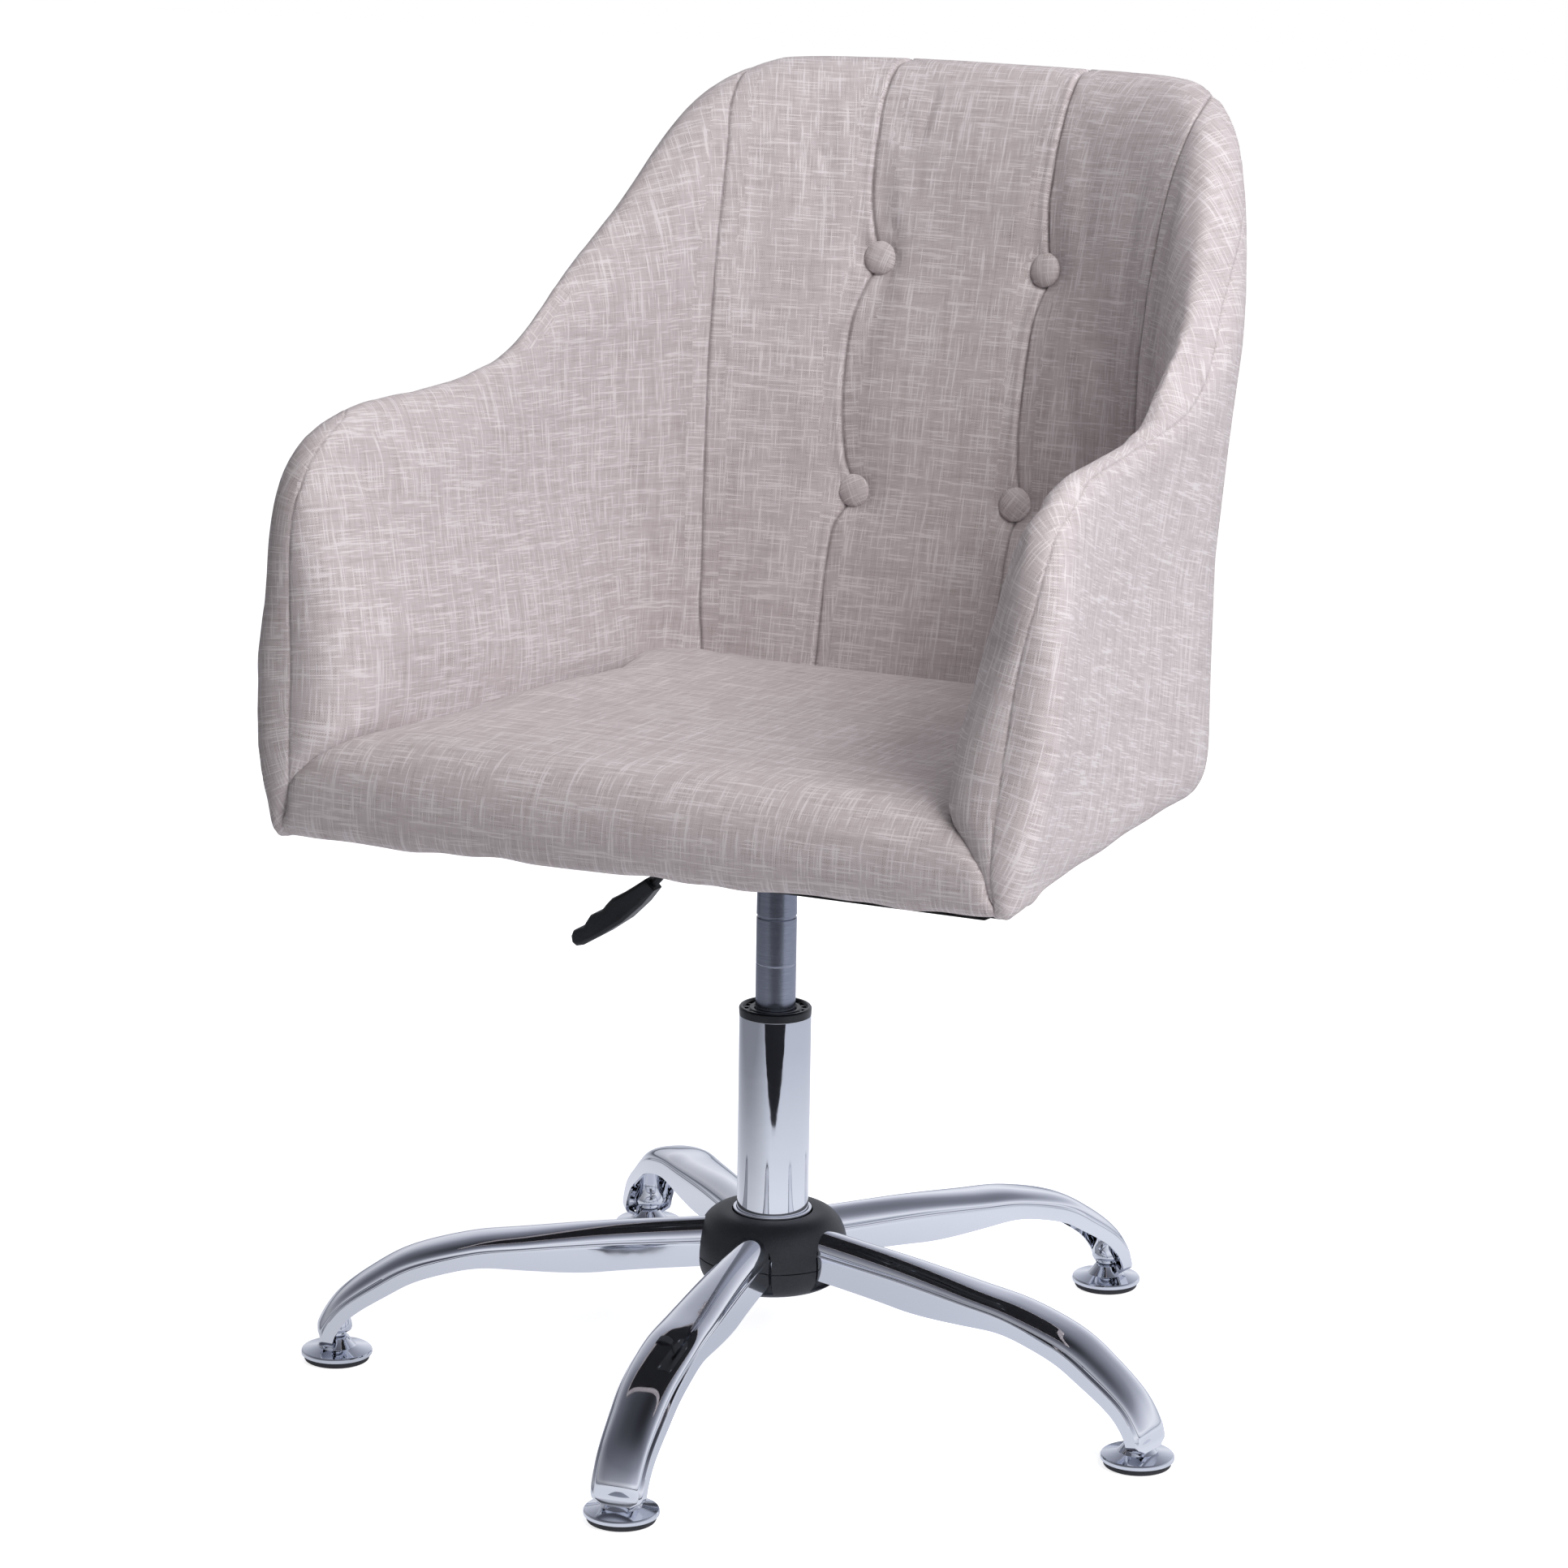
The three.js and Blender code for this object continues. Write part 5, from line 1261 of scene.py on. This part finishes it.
# Its foot is stapled by hand: it rises a little to one side, and waves.
FOOT_SLOPE = 0.018
foot_share = np.clip((NAILED_BELOW - co[:, 2]) / 40, 0, 1)
nailed = np.sin(co[:, 0] / 19 + 0.7) + 0.6 * np.sin(co[:, 1] / 14 + co[:, 0] / 33)
shaped[:, 2] += (FOOT_SLOPE * co[:, 0] + 1.2 + 0.8 * nailed) * foot_share ** 1.2
# Painted shade for the linen: how far it darkens along each seam, more along the deeper seams.
seam_shade_amount = np.clip(depth / 1.6, 0, 1) * np.exp(-(gap / 0.8) ** 2)
painted_seam_shade = tub.verts.layers.float.new("painted_seam_shade")
for vert, point, dark in zip(tub.verts, shaped, seam_shade_amount):
    vert.co = point
    vert[painted_seam_shade] = dark

tub_room = BVHTree.FromBMesh(tub)
button_seats = button_spots(tub_room)
cover = place(tub, "tub_cover", "seat", linen, sharp=0, replaces=["tub_upholstery"])
print("cover:", len(cover.data.polygons), "cells")

# %% [markdown]
# ## The board inside
#
# Under the padding runs a bent plywood wall, which carries the cloth's staples. It is hidden, but
# a cut-away view would show it, so it is the same unrolled panel, kept 12 mm inside the rim and
# the foot and given its thickness.

# %% Board
board = bmesh.new()
made = bmesh.ops.create_grid(board, x_segments=90, y_segments=30, size=1)["verts"]
co = np.array([v.co for v in made])
spots = panel(np.abs(co[:, 0]) * 0.95, 0.05 + 0.88 * (co[:, 1] + 1) / 2)
spots[:, 1] = np.maximum(spots[:, 1], SKIRT + 9)
for vert, point in zip(made, wall(spots, np.where(co[:, 0] < 0, -1.0, 1.0))[1]):
    vert.co = point
bmesh.ops.recalc_face_normals(board, faces=board.faces)
bmesh.ops.solidify(board, geom=board.faces, thickness=6.0)
bmesh.ops.recalc_face_normals(board, faces=board.faces)
bent_board = place(board, "bent_board", "seat", plywood, replaces=["tub_frame"])
print("board:", len(bent_board.data.polygons), "cells")

# %% [markdown]
# ## The dust cover
#
# Black felt is tacked under the seat, over the turned-in edge of the cloth. It is one flat sheet
# cut to the outline of the foot, a little smaller, so from the front only a dark line shows.

# %% Dust cover
FELT = 1.2    # mm thick
_, spine, outside_face = foot_line(1.97, 60)
outline = lerp(spine, outside_face, 0.15)
# At the front corners it is drawn back, behind the arms' padding.
in_front = lerp(300, 244, smoothstep(-outline[:, 1], 150, 210))
outline[:, 0] = np.clip(outline[:, 0], -in_front, in_front)
outline[:, 1] = np.maximum(outline[:, 1], -214)
outline[:, 2] = SKIRT + 0.6 + np.clip(FOOT_SLOPE * outline[:, 0] + 0.5, 0, 1.5)
dust = bmesh.new()
felt_face = dust.faces.new([dust.verts.new(point) for point in outline])
felt_area = felt_face.calc_area() * MM ** 2
pull(dust, [felt_face], (0, 0, FELT))
bmesh.ops.recalc_face_normals(dust, faces=dust.faces)
felt_cover = place(dust, "felt_dust_cover", "seat", felt, replaces=["dust_cover"])

# %% [markdown]
# ## The seat cushion
#
# The cushion is a block of foam under the same cloth. Its top falls gently from a crown near the
# front to the back, its front edge is a soft roll, and its cover is pulled under the front. It is
# drawn as a tube of one section run from arm to arm, cut to the room between the arms, rebuilt
# with even cells, and swollen a little as cloth.

# %% The cushion's section
# y and z round the section, from the back of the underside forward, up, and back.
seat_section = spline([
    (236, 425), (100, 425), (-100, 424), (-190, 420), (-216, 409), (-226, 407), (-233, 411), (-236.5, 421),
    (-237.5, 436), (-235, 451), (-228, 463.5), (-216, 470.5), (-196, 473.5), (-150, 473), (-60, 470.5),
    (60, 465.5), (150, 460.5), (215, 457.5), (236, 452), (240, 440), (236, 425),
])
print("the cushion's front is at y", round(float(seat_section(np.linspace(0, 1, 200))[:, 0].min())))


# %% The block between the arms
# In front of the arms no padding gives the width, so half of it is told by height.
CORNER_HEIGHTS, CORNER_ROOM = [405, 424, 440, 460, 475], [262, 260, 250, 233, 221]


def cushion_block(around=110, across=90):
    """The section run from arm to arm, as a closed bmesh."""
    bm = bmesh.new()
    bmesh.ops.create_grid(bm, x_segments=across, y_segments=around, size=1)
    spots = [v.co.xy for v in bm.verts]
    section = seat_section(np.array([(t + 1) / 2 for _, t in spots]))
    for vert, s, (y, z) in zip(bm.verts, [s for s, _ in spots], section):
        # The back stands on the section's last millimetres, so the room is measured before them.
        from_middle = Vector((0, min(y, 231), max(z, 440)))
        hit = tub_room.ray_cast(from_middle, Vector((1 if s >= 0 else -1, 0, 0)))[0]
        room = abs(hit.x) - 1.0 if hit is not None else 252.0
        if y < -205:
            room = min(max(room, np.interp(z, CORNER_HEIGHTS, CORNER_ROOM)), CORNER_ROOM[0])
        vert.co = (s * room, y, z)
    bmesh.ops.remove_doubles(bm, verts=bm.verts, dist=0.05)
    bmesh.ops.holes_fill(bm, edges=[e for e in bm.edges if e.is_boundary], sides=0)
    bmesh.ops.recalc_face_normals(bm, faces=bm.faces)
    return bm


cushion = evened(cushion_block(), 6.0)
print("cushion:", len(cushion.faces), "even cells")

# %% The cushion swells
start = np.array([v.co for v in cushion.verts])
free = smoothstep(start[:, 2], 418, 440) * (1 - smoothstep(np.abs(start[:, 0]), 205, 222) * 0.8)
swollen(cushion, 1 - free, pressure=4.0, cap=3.0)
cushion = subdivided(cushion)
print("cushion:", len(cushion.faces), "cells after subdivision")

# %% Its cover is pulled under
cushion.normal_update()
co = np.array([v.co for v in cushion.verts])
normals = np.array([v.normal for v in cushion.verts])
front_share = np.clip((-200 - co[:, 1]) / 25, 0, 1)
low_share = np.clip((NAILED_BELOW - co[:, 2]) / 40, 0, 1) * front_share
nailed = np.sin(co[:, 0] / 19 + 0.7) + 0.5 * np.sin(co[:, 0] / 8.3)
puckers = 0.5 * low_share * np.sin(co[:, 0] / 12.5) ** 2
press = 0.4 * np.sin(co[:, 0] / 37 + 0.5) * np.sin(co[:, 1] / 43 + 1.1) - puckers
shaped = co + normals * press[:, None]
shaped[:, 2] += (FOOT_SLOPE * co[:, 0] + 1.2 + 0.9 * nailed) * low_share ** 1.2
for vert, point in zip(cushion.verts, shaped):
    vert.co = point
seat_cover = place(cushion, "seat_cushion_cover", "seat", linen, sharp=0, replaces=["seat_cushion"])
print("the cushion is", round(float(np.ptp(shaped[:, 0]))), "mm wide")


# %% The cushion's weave
def section_map(piece):
    """Lays the weave on the cushion by length: x across, and the way over the section."""
    mesh = piece.data
    layer = mesh.uv_layers.new(name="weave")
    line = seat_section(np.linspace(0, 1, 800))
    steps = np.concatenate([[0], np.cumsum(np.linalg.norm(np.diff(line, axis=0), axis=1))])
    tree = KDTree(len(line))
    for number, (y, z) in enumerate(line):
        tree.insert((0, y, z), number)
    tree.balance()
    co = np.array([v.co for v in mesh.vertices]) / MM - np.array(axis) / MM
    run = np.array([steps[tree.find((0, y, z))[1]] for _, y, z in co])
    uv = np.stack([co[:, 0] + 1000.0, run + 500.0], 1)
    corner = np.zeros(len(mesh.loops), int)
    mesh.loops.foreach_get("vertex_index", corner)
    layer.data.foreach_set("uv", uv[corner].astype(np.float32).ravel())


section_map(seat_cover)
print("the weave is laid over", len(seat_cover.data.polygons), "cells")

# %% [markdown]
# ## Covered buttons
#
# Four buttons are pulled deep into the back. Each is a metal shell with the same cloth drawn over
# it, so its face is a low dome, and the cloth's weave lies at its own angle on every one.

# %% Buttons
DOME = [(0, -1.5), (11.0, -1.5), (12.1, -0.6), (12.6, 0.9), (12.3, 2.3), (11.2, 3.7), (9.2, 4.9), (6.4, 5.8),
        (3.2, 6.3), (0, 6.4)]
WEAVE_TURNS = (0.35, -0.2, 1.1, 0.6)    # radians
for number, (name, (hit, normal)) in enumerate(button_seats.items(), 1):
    bm = turned(DOME, steps=64, bevel=0, closed=False)
    layer = bm.loops.layers.uv.new("weave")
    turn = WEAVE_TURNS[number - 1]
    for loop in (loop for face in bm.faces for loop in face.loops):
        x, y = loop.vert.co.xy
        loop[layer].uv = (x * math.cos(turn) - y * math.sin(turn) + 300 * number,
                          x * math.sin(turn) + y * math.cos(turn) + 170 * number)
    # The gathered cloth ripples a little round the rim.
    for vert in bm.verts:
        x, y, _ = vert.co
        vert.co.z += 0.12 * math.sin(9 * math.atan2(y, x) + number) * smoothstep(math.hypot(x, y), 8, 12)
    bmesh.ops.rotate(bm, verts=bm.verts, cent=(0, 0, 0), matrix=normal.to_track_quat("Z", "Y").to_matrix())
    bmesh.ops.translate(bm, vec=hit + normal * 1.2, verts=bm.verts)
    place(bm, f"button_{name}", "seat", linen, sharp=0, replaces=[f"back_button_{number}"])
print("buttons:", ", ".join(button_seats))

# %% [markdown]
# ## Floor, light and camera
#
# The chair stands on a pale floor in soft light. The picture plane, the bounce light under the
# chair and the mirror image in the chrome want different floors, so there are three sheets on the
# same level: a white one that only the camera sees, a grey one that throws light back and glows
# faintly, a fill light from below that nothing else sees, and a glowing one that only the mirror
# sees, a painted reflection of a studio floor, grey near the chair and dark further out. A dark
# cloth that only the mirror sees lies in front, and draws the dark lines along the chrome.

# %% Stage sheets
def stage_sheet(name, corners, material, **seen):
    """A flat stage sheet that only some kinds of ray see."""
    bm = bmesh.new()
    bm.faces.new([bm.verts.new(c) for c in corners])
    made = linked(name, bm)
    made.data.materials.append(material)
    for kind in ("camera", "diffuse", "glossy", "transmission", "shadow"):
        setattr(made, "visible_" + kind, bool(seen.get(kind)))


def flat_square(half, level):
    """The corners of a level square round the frame's origin, in metres."""
    return [(-half, -half, level), (half, -half, level), (half, half, level), (-half, half, level)]


def from_axis(tree, far):
    """Distance from the swivel axis, as a share of far in metres."""
    spot = add(tree, "ShaderNodeTexCoord").outputs["Object"]
    centred = add(tree, "ShaderNodeMapping", {"Vector": spot, "Location": (-axis.x, -axis.y, 0)})
    reach = add(tree, "ShaderNodeVectorMath", {0: centred.outputs[0]}, operation="LENGTH").outputs["Value"]
    return sum_of(tree, "MULTIPLY", reach, 1 / far)


# %% Directions of the view
VIEW_TURN, VIEW_RISE, VIEW_ROLL = math.radians(25), math.radians(13.71), math.radians(0.85)
right = Vector((math.cos(VIEW_TURN), math.sin(VIEW_TURN), 0))
toward = Vector((math.sin(VIEW_TURN), -math.cos(VIEW_TURN), 0))
back = toward * math.cos(VIEW_RISE) + Vector((0, 0, math.sin(VIEW_RISE)))
up = back.cross(right)


def darker_left(tree, colour, where, low, high):
    """The studio is darker on the chair's left-hand side, seen from the front."""
    across = add(tree, "ShaderNodeVectorMath", {0: where, 1: right}, operation="DOT_PRODUCT").outputs["Value"]
    level = add(tree, "ShaderNodeMapRange", {"Value": across, "From Min": low, "From Max": high,
                                             "To Min": 0.42, "To Max": 1.0}).outputs[0]
    return add(tree, "ShaderNodeVectorMath", {0: colour, "Scale": level}, operation="SCALE").outputs[0]


print("the camera looks down by", round(math.degrees(VIEW_RISE), 1), "degrees")

# %% Floors
LEVEL, STEP = -0.0005, 0.0003    # metres; each sheet lies a little under the one before
white_floor, white_tree, white_shader = finish("white_floor", "#F4F4F6", Roughness=0.9, Emission_Strength=1.0)
white_tree.links.new(ramp(white_tree, from_axis(white_tree, 4.0), [(0.25, "#E9E9E9"), (0.9, "#FFFFFF")]),
                     white_shader.inputs["Emission Color"])
# The bounce sheet also glows faintly: a fill light from below, seen only by diffuse light.
bounce_and_glow_floor = finish("bounce_and_glow_floor", "#E9E9EC", Roughness=0.9, Emission_Color=linear("#FFFFFF"),
                      Emission_Strength=0.19)[0]
# Painted reflection: the mirror sheet glows grey near the chair, brighter in a ring round it, darker further out and
# on the left, and only the chrome shows it.
mirror_floor, mirror_tree, mirror_shader = finish("mirror_floor", "#000000", Roughness=1.0, Emission_Strength=1.0)
tone = ramp(mirror_tree, from_axis(mirror_tree, 4.0),
            [(0.03, "#C6CAD6"), (0.10, "#EBEEF7"), (0.20, "#C6CAD6"), (0.6, "#858996")])
on_floor = add(mirror_tree, "ShaderNodeTexCoord").outputs["Object"]
mirror_tree.links.new(darker_left(mirror_tree, tone, on_floor, -0.75, -0.1), mirror_shader.inputs["Emission Color"])
stage_sheet("floor", flat_square(9, LEVEL), white_floor, camera=True)
stage_sheet("floor_bounce", flat_square(9, LEVEL - STEP), bounce_and_glow_floor, diffuse=True)
stage_sheet("floor_mirror", flat_square(9, LEVEL - 2 * STEP), mirror_floor, glossy=True)
print("three floors lie on one level")

# %% The dark cloth in front
# How far in front of the axis each point is, and how far to the side, in metres.
STRIP = [(0.60, 0.05), (0.72, 0.42), (0.95, 1.0), (6.0, 5.0)]
dark = finish("dark_cloth", "#0E0E12", Roughness=1.0)[0]
stage_sheet("dark_strip", [axis + toward * d + right * w for d, w in STRIP]
            + [axis + toward * d - right * w for d, w in STRIP[::-1]], dark, glossy=True)
print("the dark cloth starts", STRIP[0][0], "m in front")

# %% Camera
DISTANCE, AIM = 3.4234, 0.4221            # metres to the point looked at, and its height
FRAME, FOCAL, SHIFT = 1932, 6148.75, 6.5    # in points of the finished picture
SENSOR = 36
rolled_right = right * math.cos(VIEW_ROLL) + up * math.sin(VIEW_ROLL)
rolled_up = up * math.cos(VIEW_ROLL) - right * math.sin(VIEW_ROLL)
camera_data = bpy.data.cameras.new("camera")
camera_data.sensor_width = SENSOR
camera_data.lens = FOCAL * SENSOR / FRAME
camera_data.shift_x = SHIFT / FRAME
camera = bpy.data.objects.new("camera", camera_data)
camera_axes = Matrix((rolled_right, rolled_up, back)).transposed().to_4x4()
camera.matrix_world = Matrix.Translation(axis + Vector((0, 0, AIM)) + back * DISTANCE) @ camera_axes
bpy.context.scene.collection.objects.link(camera)
bpy.context.scene.camera = camera
print("the lens is", round(camera_data.lens), "mm long")

# %% [markdown]
# The light is four soft lamps. The main one stands in front, somewhat to the camera's right, and
# high; a second one further round to the right brightens the outside of the near arm. One hangs
# overhead, and a weak one behind on the left draws the far edge. The world gives the picture its
# white ground and the chrome its grey room; it doesn't light the cloth, so folds stay readable.

# %% World
scene = bpy.context.scene
scene.view_settings.view_transform = "Standard"
scene.view_settings.look = "None"
world = bpy.data.worlds.new("studio")
scene.world = world
world.use_nodes = True
sky = world.node_tree
ray = add(sky, "ShaderNodeLightPath").outputs
direction = add(sky, "ShaderNodeTexCoord").outputs["Generated"]
height = add(sky, "ShaderNodeSeparateXYZ", {0: direction}).outputs["Z"]
room = ramp(sky, sum_of(sky, "MULTIPLY_ADD", height, 0.5, 0.5), [
    (0.50, "#CDD1DD"), (0.60, "#F6F8FF"), (0.70, "#CDD0DC"), (0.82, "#8F929E"), (0.92, "#6C6E78"), (1.0, "#2C2D32")])
mirrored = mixed(sky, ray["Is Glossy Ray"], linear("#000000"), darker_left(sky, room, direction, -0.8, 0.0))
sky.links.new(mixed(sky, ray["Is Camera Ray"], mirrored, linear("#FFFFFF")),
              sky.nodes["Background"].inputs["Color"])
print("the world is ready, with", len(sky.nodes), "nodes")


# %% Lamps
def lamp(name, turn, rise, size, power, colour):
    """A soft square lamp; turn is measured from the camera's side to the right, in degrees."""
    light = bpy.data.lights.new(name, "AREA")
    light.shape, light.size = "SQUARE", size
    light.energy, light.color = power, linear(colour)[:3]
    made = bpy.data.objects.new(name, light)
    turn, rise = math.radians(turn), math.radians(rise)
    way = (toward * math.cos(turn) + right * math.sin(turn)) * math.cos(rise) + Vector((0, 0, math.sin(rise)))
    made.location = way * LAMP_DISTANCE + Vector((0, 0, LAMP_AIM))
    made.rotation_mode = "QUATERNION"
    made.rotation_quaternion = (-way).to_track_quat("-Z", "Y")
    # The chrome mirrors the room, not the lamps' square outlines.
    made.visible_glossy = False
    scene.collection.objects.link(made)


LAMP_DISTANCE, LAMP_AIM = 2.6, 0.45    # metres, and the height they point at
lamp("front_right", 35, 40, 1.3, 56, "#FFFBFA")
lamp("right", 70, 40, 1.3, 22, "#F6F8FF")
lamp("overhead", 0, 90, 1.8, 15.5, "#FFFBF8")
lamp("back_left", -140, 40, 1.3, 16, "#F4F6FF")
print("lamps:", ", ".join(light.name for light in bpy.data.lights))
